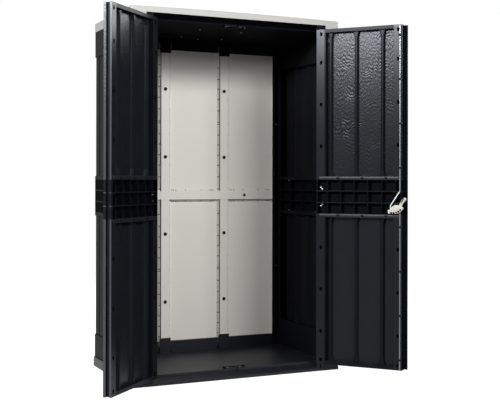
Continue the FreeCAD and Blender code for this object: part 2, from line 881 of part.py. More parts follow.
def tray_recesses():
    # Shallow recesses on the hidden side, with broad ribs left between them.
    x_span = 2 * (post_inner - tray_rib)
    y_low = front + sill_depth + tray_rib
    y_span = stile_front - tray_rib - y_low
    wide = (x_span + tray_rib) / tray_recess_columns
    deep = (y_span + tray_rib) / tray_recess_rows
    recesses = []
    for i in range(tray_recess_columns):
        for j in range(tray_recess_rows):
            x = -x_span / 2 + i * wide
            y = y_low + j * deep
            recesses.append(block(x, x + wide - tray_rib, y, y + deep - tray_rib, -1, tray_recess_depth))
    return recesses


def stile_centres():
    return [(i - back_columns / 2) * back_pitch for i in range(back_columns + 1)]


def tray_upstand():
    # Wall at the back that closes the foot of each recessed field, with a tab over each middle stile.
    pieces = []
    centres = stile_centres()
    reach = stile_width / 2 + stile_slope + upstand_clearance
    clear_of_flange = wall_inner - wall_back_flange - slip_gap
    for a, b in zip(centres, centres[1:]):
        low = max(a + reach, -clear_of_flange)
        high = min(b - reach - back_joint, clear_of_flange)
        pieces.append(block(low, high, stile_front - slip_gap - 1, field_front - seat_gap,
                            tray_seat_height - 1, upstand_height))
    for c in centres[1:-1]:
        pieces.append(block(c - upstand_tab_width / 2, c + upstand_tab_width / 2,
                            stile_front - slip_gap - upstand_tab_thickness, stile_front - slip_gap,
                            tray_floor_height - 1, upstand_tab_height))
    return pieces


def keeper_hole(foot, height):
    # Hole that the lock rod drops into.
    base = V(hinge_x - rod_u, door_inner + rod_depth, foot)
    return few_sided_bar(base, UP, rod_radius + rod_hole_play, height, screw_head_sides)


def keeper_screw_places():
    y = door_inner + rod_depth + keeper_screw_behind_rod
    return [(side * (keeper_half_length - keeper_screw_inset), y) for side in (-1, 1)]


def keeper():
    # Plate round the rod's hole, with a raised lug at each end that the doors shut against.
    y0 = front + sill_depth + keeper_behind_sill
    y1 = y0 + keeper_depth
    z0 = tray_floor_height
    plate = block(-keeper_half_length, keeper_half_length, y0, y1, z0, z0 + keeper_plate)
    lugs = []
    for side in (-1, 1):
        low, high = sorted((side * keeper_half_length, side * (keeper_half_length - keeper_lug_thickness)))
        corners = [(y0, z0), (y1, z0), (y1, z0 + keeper_lug_height / 2),
                   (y0 + keeper_lug_top, z0 + keeper_lug_height), (y0, z0 + keeper_lug_height)]
        lugs.append(profile_along_x(corners, low, high))
    rear_top = z0 + keeper_lug_height / 2
    rear = block(-keeper_half_length, keeper_half_length, y1 - keeper_rear_lip, y1, z0, rear_top)
    hole = keeper_hole(z0 - 1, keeper_plate + 2)
    return join([plate, rear] + lugs).cut([hole] + keeper_screw_bores())


def keeper_screw_seats():
    return [V(x, y, tray_floor_height + keeper_plate) for x, y in keeper_screw_places()]


def keeper_screw_bores():
    return [screw_bore(seat, DOWN, keeper_screw_length) for seat in keeper_screw_seats()]


def keeper_screws():
    length = keeper_screw_length - 1
    return [screw(seat, DOWN, length, small_head_radius, small_head_height) for seat in keeper_screw_seats()]


# Roof cap

def roof_half_width():
    return cabinet_width / 2 - roof_side_inset


def roof_outline(margin, top):
    # Front view of the cap: straight sides, and a shallow crown in a few flats.
    half = roof_half_width() - margin
    low = body_height - roof_skirt
    points = [V(-half, 0, low)]
    for i in range(roof_crown_flats + 1):
        across = 2 * i / roof_crown_flats - 1
        points.append(V(half * across, 0, top - roof_crown_drop * across ** 2))
    points.append(V(half, 0, low))
    return Part.makePolygon(points + points[:1])


def roof_solid(margin, top, y0, y1):
    outline = roof_outline(margin, top)
    outline.translate(V(0, y0, 0))
    return Part.Face(outline).extrude(V(0, y1 - y0, 0))


def roof_cap():
    y0 = front
    y1 = cabinet_depth / 2 - roof_back_inset
    top = body_height + roof_crown_height
    outer = roof_solid(0.0, top, y0, y1)
    half = roof_half_width()
    uprights = [e for e in outer.Edges if abs(e.Vertexes[0].X - e.Vertexes[-1].X) < 0.01
                and abs(e.Vertexes[0].Y - e.Vertexes[-1].Y) < 0.01]
    outer = outer.makeFillet(roof_corner_radius, uprights)
    crown = [e for e in outer.Edges if e.CenterOfMass.z > top - roof_crown_drop - 1 and
             (e.CenterOfMass.y < y0 + roof_corner_radius or e.CenterOfMass.y > y1 - roof_corner_radius
              or abs(e.CenterOfMass.x) > half - roof_corner_radius)]
    outer = outer.makeChamfer(roof_edge_chamfer, crown)
    inner = roof_solid(roof_wall, top - roof_top_skin, y0 + roof_wall, y1 - roof_wall)
    inner.translate(V(0, 0, -0.01))
    door_opening = hinge_x + knuckle_radius + fascia_opening_margin
    opening = block(-door_opening, door_opening, y0 - 1, y0 + roof_wall + 1,
                    body_height - roof_skirt - 1, body_height - fascia_below_tray_top)
    shell = outer.cut([inner, opening])
    ribs = []
    step = 2 * (half - roof_wall) / (roof_rib_count + 1)
    under = body_height + seat_gap
    for i in range(1, roof_rib_count + 1):
        x = -(half - roof_wall) + i * step
        ribs.append(block(x - roof_rib_thickness / 2, x + roof_rib_thickness / 2, y0 + 1, y1 - 1, under, top))
    for x, y in roof_screw_places():
        ribs.append(few_sided_bar(V(x, y, under), UP, roof_boss_radius, top - under, screw_head_sides))
    ribs = [rib.common(outer) for rib in ribs]
    return join([shell] + ribs).cut(roof_screw_bores())


def roof_screw_places():
    rows = (front + roof_screw_front, -front - roof_screw_back)
    places = [(side * roof_screw_side, y) for y in rows for side in (-1, 1)]
    return places + [(0.0, -front - roof_screw_mid_back)]


def roof_screw_seats():
    return [V(x, y, body_height - tray_floor_height) for x, y in roof_screw_places()]


def roof_screw_bores():
    return [screw_bore(seat, UP, roof_screw_length) for seat in roof_screw_seats()]


def roof_screws():
    return [screw(seat, UP, roof_screw_length - 1) for seat in roof_screw_seats()]


def ceiling_tray():
    half = roof_half_width() - roof_wall - seat_gap
    y0 = front + roof_wall + seat_gap
    y1 = cabinet_depth / 2 - roof_back_inset - roof_wall - seat_gap
    turned = flip_height(tray(half, y0, y1, False))
    z0 = body_height - tray_floor_height + 1
    bosses = [few_sided_bar(V(x, y, z0), UP, roof_boss_radius, body_height - z0, screw_head_sides)
              for x, y in roof_screw_places()]
    return join([turned] + bosses).cut(roof_screw_bores())


# Side walls: u runs back from the cabinet's front, w outwards from the inner face.

def wall_blank(z0, z1):
    post_u = post_setback + post_depth
    post_w = wall_thickness - post_width
    flange_u = stile_front - front - slip_gap
    lap_w = wall_thickness - wall_back_lap
    rear = back_outer - front
    outer_corner = arc_edge((post_setback + post_outer_round, wall_thickness - post_outer_round),
                            post_outer_round, 90.0, 135.0)
    inner_corner = arc_edge((post_setback + post_round, post_w + post_round), post_round, 180.0, 225.0)
    outline = [
        (post_u, 0.0),
        (flange_u, 0.0),
        (flange_u, lap_w),
        (rear, lap_w),
        (rear, wall_thickness),
        outer_corner,
        inner_corner,
        (post_u, post_w),
    ]
    return section_prism(outline, z0, z1)


def wall_corner_flange(z0, z1):
    # Leg that folds inwards in front of the back wall's end stile.
    flange_u = stile_front - front - slip_gap
    return block(flange_u - wall_back_flange_thickness, flange_u, -wall_back_flange, 1, z0, z1)


def wall_lower_panel():
    blank = wall_blank(wall_seat_low, belt_low)
    flange = wall_corner_flange(tray_floor_height + seat_gap, belt_low)
    z0 = tray_floor_height + wall_end_band
    z1 = belt_low - joint_flange
    cuts = panel_relief(wall_recess_front, wall_recess_end, wall_first_ridge, wall_plank_pitch, z0, z1)
    outer_z0 = base_rim_height + wall_outer_band
    cuts += outer_planks(wall_recess_front, cabinet_depth, wall_first_ridge, wall_plank_pitch,
                         wall_thickness, outer_z0, z1)
    cuts += joint_bores(wall_screw_insets)
    cuts.append(screw_bore(corner_screw_seat(), ALONG, corner_screw_length))
    return join([blank, flange]).cut(cuts)


def corner_screw_seat():
    face = stile_front - front - slip_gap - wall_back_flange_thickness
    return V(face, -wall_back_flange / 2, mid_z - corner_screw_height)


def wall_belt():
    blank = join([wall_blank(belt_low, belt_high), wall_corner_flange(belt_low, belt_high)])
    first_rib = wall_recess_front + wall_lattice_pitch
    cells = lattice_cells(wall_recess_front, wall_recess_end, first_rib, wall_lattice_pitch)
    post_face = wall_thickness - post_width - bracket_plate
    bracket_bores = [screw_bore(V(bracket_screw_u(), post_face, z), INWARD, bracket_screw_length)
                     for z in bracket_screw_heights()]
    return blank.cut(cells + joint_bores(wall_screw_insets) + bracket_bores)


def bracket_screw_u():
    return post_setback + post_depth - bracket_screw_edge


def bracket_screw_heights():
    reach = bracket_plate_height / 2 - bracket_screw_inset
    return (mid_z - reach, mid_z + reach)


def corner_screws():
    low = place_left_wall(screw(corner_screw_seat(), ALONG, corner_screw_length - 1))
    return [low, flip_height(low), to_left(low), to_left(flip_height(low))]


def place_left_wall(shape):
    placed = shape.copy()
    placed.rotate(ORIGIN, UP, 90)
    placed.translate(V(-wall_inner, front, 0))
    return placed


# Middle hinge bracket on the front post, drawn for the right side.

def hinge_bracket():
    z0 = mid_z - middle_eye_height / 2
    z1 = mid_z + middle_eye_height / 2
    plate_y0 = front + post_setback + post_round + 1
    plate_y1 = front + post_setback + post_depth
    face = post_inner - bracket_plate
    half_plate = bracket_plate_height / 2
    plate = block(face, post_inner, plate_y0, plate_y1, mid_z - half_plate, mid_z + half_plate)
    eye = few_sided_bar(V(hinge_x, hinge_y, z0), UP, middle_eye_radius, z1 - z0, round_sides)
    along = V(post_inner - bracket_plate / 2 - hinge_x, plate_y0 + bracket_arm / 2 - hinge_y, 0)
    across = V(-along.y, along.x, 0).normalize() * (bracket_arm / 2)
    start = V(hinge_x, hinge_y, 0)
    corners = [start + across, start - across, start + along - across, start + along + across]
    arm = prism([(c.x, c.y) for c in corners], z0, z1)
    keep = block(hinge_x - middle_eye_radius, post_inner, hinge_y - middle_eye_radius, plate_y1, z0, z1)
    arm = arm.common(keep)
    bore = rod_along_z(hinge_x, hinge_y, middle_pin_radius + bore_gap, z0 - 1, z1 + 1)
    bores = [screw_bore(seat, ALONG, bracket_screw_length) for seat in bracket_screw_seats()]
    return join([plate, eye, arm]).cut([bore] + bores)


def bracket_screw_seats():
    face = post_inner - bracket_plate
    return [V(face, front + bracket_screw_u(), z) for z in bracket_screw_heights()]


def bracket_screws():
    length = bracket_screw_length - 1
    screws = [screw(seat, ALONG, length, small_head_radius, small_head_height)
              for seat in bracket_screw_seats()]
    return screws + [to_left(s) for s in screws]


def end_pins():
    low = rod_along_z(hinge_x, hinge_y, end_pin_radius, end_pin_foot, door_bottom + end_pin_in_door)
    return [low, flip_height(low)]


# Back wall: raised stiles, recessed fields and a rail along the middle.

def back_panel(column, upper):
    centres = stile_centres()
    half = stile_width / 2
    x0 = centres[column] - half
    last = column == back_columns - 1
    x1 = centres[column + 1] + half if last else centres[column + 1] - half - back_joint
    rail_low = mid_z - back_rail_height / 2
    z0 = rail_low if upper else wall_seat_low
    z1 = wall_seat_high if upper else rail_low - back_joint
    blank = block(x0, x1, stile_front, back_outer, z0, z1)
    field_x0 = centres[column] + half
    field_x1 = centres[column + 1] - half - back_joint
    rail_z = rail_low + back_rail_height if upper else z0 - 1
    end_z = z1 + 1 if upper else z1
    levels = ((stile_front - 0.01, 0.0), (field_front, stile_slope))
    wires = []
    for y, slope in levels:
        low = rail_z + (slope if upper else 0.0)
        high = end_z - (0.0 if upper else slope)
        points = [V(field_x0 + slope, y, low), V(field_x1 - slope, y, low),
                  V(field_x1 - slope, y, high), V(field_x0 + slope, y, high)]
        wires.append(Part.makePolygon(points + points[:1]))
    field = Part.makeLoft(wires, True, True)
    bores = [screw_bore(V(x, stile_front, z), INWARD, plug_length)
             for x, z in plug_places() if x0 < x < x1 and z0 < z < z1]
    corner_seat = place_left_wall(Part.Vertex(corner_screw_seat())).Point
    for side in (-1, 1):
        for bore_z in (corner_seat.z, 2 * mid_z - corner_seat.z):
            mouth = V(side * corner_seat.x, corner_seat.y, bore_z)
            bores.append(screw_bore(mouth, INWARD, corner_screw_length))
    return blank.cut([field] + bores)


def plug_places():
    centres = stile_centres()[1:-1]
    return [(x, mid_z + side * h) for x in centres for h in plug_heights for side in (-1, 1)]


def back_plugs():
    # Flat round plugs that hold the stiles to the wall behind.
    seats = [V(x, stile_front, z) for x, z in plug_places()]
    return [screw(seat, INWARD, plug_length - 1, plug_radius, plug_height) for seat in seats]


def save_cabinet():
    save("base_tray", tray(cabinet_width / 2, front, cabinet_depth / 2, True))
    save("ceiling_tray", ceiling_tray())
    save("roof_cap", roof_cap())
    save("roof_screws", group(roof_screws()))
    lower = place_left_wall(wall_lower_panel())
    belt = place_left_wall(wall_belt())
    for side, turn in (("left", lambda s: s), ("right", to_left)):
        save(side + "_wall_lower_panel", turn(lower))
        save(side + "_wall_belt", turn(belt))
        save(side + "_wall_upper_panel", turn(flip_height(lower)))
        wall_screws = joint_screws(wall_screw_insets, place_left_wall)
        save(side + "_wall_screws", group([turn(s) for s in wall_screws]))
    for column, name in enumerate(("left", "middle", "right")):
        save("back_lower_panel_" + name, back_panel(column, False))
        save("back_upper_panel_" + name, back_panel(column, True))
    save("back_wall_plugs", group(back_plugs()))
    save("back_corner_screws", group(corner_screws()))
    base_keeper = keeper()
    save("floor_keeper", base_keeper)
    save("ceiling_keeper", flip_height(base_keeper))
    screws = keeper_screws()
    save("keeper_screws", group(screws + [flip_height(s) for s in screws]))
    for side, turn in (("right", lambda s: s), ("left", to_left)):
        save(side + "_end_hinge_pins", group([turn(p) for p in end_pins()]))
        save(side + "_middle_hinge_bracket", turn(hinge_bracket()))
    save("hinge_bracket_screws", group(bracket_screws()))


def save_door(side, with_lip, place):
    lower = door_lower_panel(with_lip)
    save(side + "_door_lower_panel", place(lower))
    save(side + "_door_belt", place(door_belt(with_lip)))
    save(side + "_door_upper_panel", place(flip_height(lower)))
    save(side + "_door_joint_screws", group(joint_screws(joint_screw_insets, place)))
    save(side + "_door_hinge_screws", group([place(s) for s in hinge_screws()]))
    save(side + "_middle_hinge_pin", place(middle_pin()))


def save_lock():
    save("lock_rod_guides", group([open_right(g) for g in rod_guides()]))
    save("upper_lock_rod", open_right(upper_rod()))
    save("lower_lock_rod", open_right(lower_rod()))
    save("lock_hub", open_right(lock_hub()))
    save("lock_spindle", open_right(spindle()))
    save("handle_rosette", open_right(rosette()))
    save("handle_rosette_screws", group([open_right(s) for s in rosette_screws()]))
    save("outside_handle", open_right(outside_handle()))


save_cabinet()
save_door("right", True, open_right)
save_door("left", False, open_left)
save_lock()
print("lock rod travel", round(rod_travel, 2))
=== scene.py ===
from math import cos, pi, radians, sin

import bmesh
import bpy
import numpy as np
from mathutils import Matrix, Vector


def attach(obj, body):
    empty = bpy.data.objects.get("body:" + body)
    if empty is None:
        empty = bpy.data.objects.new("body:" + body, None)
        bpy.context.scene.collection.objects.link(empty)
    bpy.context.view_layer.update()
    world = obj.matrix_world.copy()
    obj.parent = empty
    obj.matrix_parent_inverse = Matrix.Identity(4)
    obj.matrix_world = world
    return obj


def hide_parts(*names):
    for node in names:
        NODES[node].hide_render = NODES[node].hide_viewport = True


bl_info = {
    "name": "Garden Storage Cabinet",
    "version": (1, 0, 0),
    "blender": (4, 5, 0),
    "location": "View3D > Sidebar > Cabinet",
    "description": "Finishes, lock lever, fasteners and studio for a resin garden cabinet",
    "category": "Object",
}

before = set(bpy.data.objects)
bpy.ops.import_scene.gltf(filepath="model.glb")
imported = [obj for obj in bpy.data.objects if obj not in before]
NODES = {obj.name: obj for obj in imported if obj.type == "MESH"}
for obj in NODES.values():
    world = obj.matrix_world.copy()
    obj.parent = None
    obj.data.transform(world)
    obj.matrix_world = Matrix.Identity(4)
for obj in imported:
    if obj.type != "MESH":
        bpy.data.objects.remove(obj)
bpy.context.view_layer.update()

MM = 0.001

# Places of the cabinet as the solids have them: in millimetres, angles in degrees, shares of half a door
HALF_DEPTH = 315.0
BODY_HEIGHT = 1804.0
FLOOR_Z = 42.0
CEILING_Z = 1762.0
WALL_INNER = 518.0
MID_Z = 902.0
BELT_HALF = 95.5
BELT_OPEN_HALF = 86.0
BELT_RIB = 29.5
BELT_RIB_HALF = 2.8
BELT_BAR_HALF = 9.2
BELT_SCREWS = (116.04, 246.0, 370.9)
HINGE_X = 456.5
HINGE_Y = -298.0
DOOR_INNER_Y = -265.0
DOOR_OPEN_RIGHT = 130.5
DOOR_OPEN_LEFT = 135.5
DOOR_EDGE_U = 453.5
DOOR_HALF_HEIGHT = 861.0
STILE_HOLES_U = (25.5, 433.5)
STILE_HOLE_SHARES = (0.302, 0.5517, 0.802, 0.972)
STILE_HOLE_HALF = (5.5, 7.0)
STILE_HOLE_DEPTH = 12.0
PLANKS_U = (42.5, 410.5)
RIB_DEPTH = 24.0
EDGE_CHANNEL = (8.0, 27.0)
HUB_U = 420.6
HUB_Z = 838.0
ROD_BEND_Z = 934.0
CRANK_TILT = 15.0
CRANK_RADIUS = 28.0
BACK_STILES = (-174.5, 174.5)
STILE_FRONT_Y = 289.5
STILE_HALF = 23.5
STILE_RUN = 11.0
STILE_RISE = 15.0
BACK_JOINT = 3.0
TRAY_WALL_Y = 287.6
TRAY_WALL_TOP = 104.0
UP = (0, 0, 1)

# Lock lever: the planes of its middle and its feet outwards from the door, its tilt, and its small radii
LEVER_W = -14.2
LOCK_FOOT_W = -12.0
LEVER_TILT = 15.5
CRANK_PIN_RADIUS = 3.0
COLLAR_RADIUS = 9.0

# Grain of the planks: how far the noise bends a ring, in ring pitches, and how much the flecks count.
# Both noises change slower up a panel than across it, by the stretches. A patch's strength rises from
# its least value to 1 between two levels of its noise.
RING_BEND = 6.0
FLECK_SHARE = 2.5
KNOT_STRETCH = 0.34
FLECK_STRETCH = 0.45
PATCH_LEVELS = (0.48, 0.8)
PATCH_LEAST = 0.12

# A dark resin mirrors the studio a little blue. Its matt places are painted shade: they keep a small share
# of the gloss, the ribs lose a part of it, and the sockets and the belt's cells are painted darker by a share
COOL_TINT = (0.88, 0.92, 1.0)
MATT_GLOSS = 0.05
RIB_MATT = 0.7
SOCKET_SHADE = 0.9
CELL_SHADE = 0.3

# Lamps: name, place, target, width and height in metres, power in watts
LAMPS = (
    ("key_softbox", (1.6, -4.2, 3.3), (0.0, 0.2, 0.2), 2.2, 0.9, 168.0),
    ("front_fill", (-1.5, -4.3, 2.6), (0.0, 0.3, 0.1), 1.0, 0.5, 34.0),
    ("side_softbox", (-2.75, -1.85, 2.52), (0.6, -0.5, 1.6), 1.2, 0.42, 180.0),
    ("right_fill", (3.6, 0.3, 2.2), (0.55, 0.0, 0.9), 1.2, 1.0, 70.0),
    ("back_fill", (1.0, 3.9, 2.4), (0.0, 0.3, 0.9), 1.6, 1.0, 90.0),
)

# Camera: place in metres, yaw in degrees, roll in radians, lens and sensor in millimetres, and shifts in
# sensor widths
CAMERA_PLACE = (-1.9645, -4.670, 0.991)
CAMERA_YAW = -24.9
CAMERA_ROLL = 0.0018
CAMERA_LENS = 69.13
CAMERA_SENSOR = 36.0
CAMERA_SHIFT = (-0.0003, -0.0414)

# Floor: half its side, the distances in metres over which its white rises to full, the white before them,
# and the grey of its diffuse part. World: its light on the object, where 1 is white
FLOOR_REACH = 9.0
FLOOR_WHITE_FROM = 1.0
FLOOR_WHITE_TO = 3.5
FLOOR_WHITE_NEAR = 0.95
FLOOR_GREY = 0.22
WORLD_LIGHT = 0.05


def linear(code):
    """sRGB hex to linear red, green and blue.

    Values up to 0.04045 are divided by 12.92. The others are ((v + 0.055) / 1.055) to the power 2.4."""
    values = [int(code[i:i + 2], 16) / 255 for i in (1, 3, 5)]
    return tuple(v / 12.92 if v <= 0.04045 else ((v + 0.055) / 1.055) ** 2.4 for v in values)


# Mesh helpers


def surface(name, sheets, body, material):
    """Makes one mesh from sheets of points, each an array rows x columns x 3 in millimetres.

    Columns close round on themselves. A quad joins points (i, j), (i, j+1), (i+1, j+1) and (i+1, j).
    Rows that shrink to a point are merged, which closes the poles."""
    points, quads, start = [], [], 0
    for sheet in sheets:
        rows, columns = sheet.shape[:2]
        index = start + np.arange(rows * columns).reshape(rows, columns)
        after = np.roll(index, -1, axis=1)
        quads.append(np.stack([index[:-1], after[:-1], after[1:], index[1:]], axis=-1).reshape(-1, 4))
        points.append(sheet.reshape(-1, 3))
        start += rows * columns
    mesh = bpy.data.meshes.new(name)
    mesh.from_pydata((np.concatenate(points) * MM).tolist(), [], np.concatenate(quads).tolist())
    shell = bmesh.new()
    shell.from_mesh(mesh)
    bmesh.ops.remove_doubles(shell, verts=shell.verts, dist=1e-6)
    bmesh.ops.recalc_face_normals(shell, faces=shell.faces)
    shell.to_mesh(mesh)
    shell.free()
    mesh.polygons.foreach_set("use_smooth", np.ones(len(mesh.polygons), bool))
    mesh.materials.append(material)
    piece = bpy.data.objects.new(name, mesh)
    bpy.context.scene.collection.objects.link(piece)
    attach(piece, body)
    return piece


def outline(columns, corner):
    """Angles round a superellipse |a|^n + |b|^n = 1 of power `corner`, and its a and b at each of them."""
    turn = np.linspace(0, 2 * pi, columns, endpoint=False)
    across = np.sign(np.cos(turn)) * np.abs(np.cos(turn)) ** (2 / corner)
    ahead = np.sign(np.sin(turn)) * np.abs(np.sin(turn)) ** (2 / corner)
    return turn, across, ahead


def studs(centres, across, along, out, profile, corner=2.0, cross=0.0, columns=24):
    """Sheets for small raised or sunk marks, one at each centre.

    A ring of the profile (half width, half length, height) is a superellipse of power `corner`. `cross`
    pulls the ring in four times round, as 1 - cross * |sin 2t| does, on rings lower than the one before."""
    turn, side, ahead = outline(columns, corner)
    rings = np.array(profile, float)
    sunk = np.concatenate([[0.0], (np.diff(rings[:, 2]) < 0).astype(float)])
    pull = 1 - cross * sunk[:, None] * np.abs(np.sin(2 * turn))[None, :]
    ring = (rings[:, 0:1, None] * (side * pull)[:, :, None] * np.asarray(across)
            + rings[:, 1:2, None] * (ahead * pull)[:, :, None] * np.asarray(along)
            + rings[:, 2:3, None] * np.asarray(out))
    return [ring + np.asarray(centre, float) for centre in centres]


def boss(half_width, half_length, foot, rim, top, chamfer):
    """Profile for studs: a flat foot, a straight side up to the rim, and a chamfer up to a flat top."""
    return [(0, 0, foot), (half_width, half_length, foot), (half_width, half_length, rim),
            (half_width - chamfer, half_length - chamfer, top), (0, 0, top)]


def sweep(path, normal, out, half_width, half_depth, columns=20, corner=2.0):
    """Sheet round a path in a plane: each row is a superellipse across the path's point.

    path is n x 3, normal is the in-plane normal at each point and out the plane's own normal."""
    _, side, ahead = outline(columns, corner)
    wide = half_width[:, None, None] * side[None, :, None] * normal[:, None, :]
    deep = half_depth[:, None, None] * ahead[None, :, None] * np.asarray(out)[None, None, :]
    return path[:, None, :] + wide + deep


def strip(start, end, normal, out, half_width, half_depth, corner=6.0):
    """A straight bar from start to end with closed ends, of near rectangular section."""
    t = np.array([0.0, 0.0, 0.5, 1.0, 1.0])
    full = np.array([0.0, 1.0, 1.0, 1.0, 0.0])
    path = np.asarray(start, float) + t[:, None] * (np.asarray(end, float) - np.asarray(start, float))
    return sweep(path, np.tile(np.asarray(normal, float), (5, 1)), out, half_width * full, half_depth * full,
                 16, corner)


# Door coordinates


def door_axes(side):
    """Unit vectors of a door that stands open: u along it from the hinge, w outwards, and its corner.

    Closed, u is (-1, 0) on the right door and w is (0, -1); both are turned by the opening angle,
    and the left door mirrors them."""
    sign = 1 if side == "right" else -1
    angle = radians(DOOR_OPEN_RIGHT if side == "right" else DOOR_OPEN_LEFT)
    u = np.array([-sign * cos(angle), -sin(angle), 0.0])
    w = np.array([sign * sin(angle), -cos(angle), 0.0])
    inset = DOOR_INNER_Y - HINGE_Y
    pivot = np.array([sign * HINGE_X, HINGE_Y, 0.0])
    return u, w, pivot - w * inset


def on_door(side, u, w, z):
    """Points on a door: its corner plus u and w steps along its axes, at height z."""
    along, outward, corner = door_axes(side)
    u, w, z = np.broadcast_arrays(np.asarray(u, float), np.asarray(w, float), np.asarray(z, float))
    return corner + u[..., None] * along + w[..., None] * outward + z[..., None] * np.array([0, 0, 1.0])


# Material helpers


def add(tree, kind, settings, values, links):
    """Adds a shader node, sets its own settings and socket values, and links other nodes to its sockets.

    A link's source is a node, of which the first output is meant, or one of its outputs."""
    made = tree.nodes.new(kind)
    for key, value in settings.items():
        setattr(made, key, value)
    for key, value in values.items():
        made.inputs[key].default_value = value
    for key, source in links.items():
        tree.links.new(source.outputs[0] if isinstance(source, bpy.types.Node) else source, made.inputs[key])
    return made


def finish(name, colour, roughness, metallic=0.0, ior=1.5, specular=0.5, specular_tint=(1, 1, 1)):
    """A Principled surface with the constants set on its own sockets."""
    material = bpy.data.materials.new(name)
    material.use_nodes = True
    tree = material.node_tree
    shader = tree.nodes["Principled BSDF"]
    shader.inputs["Base Color"].default_value = (*colour, 1)
    shader.inputs["Roughness"].default_value = roughness
    shader.inputs["Metallic"].default_value = metallic
    shader.inputs["IOR"].default_value = ior
    shader.inputs["Specular IOR Level"].default_value = specular
    shader.inputs["Specular Tint"].default_value = (*specular_tint, 1)
    return material, tree, shader


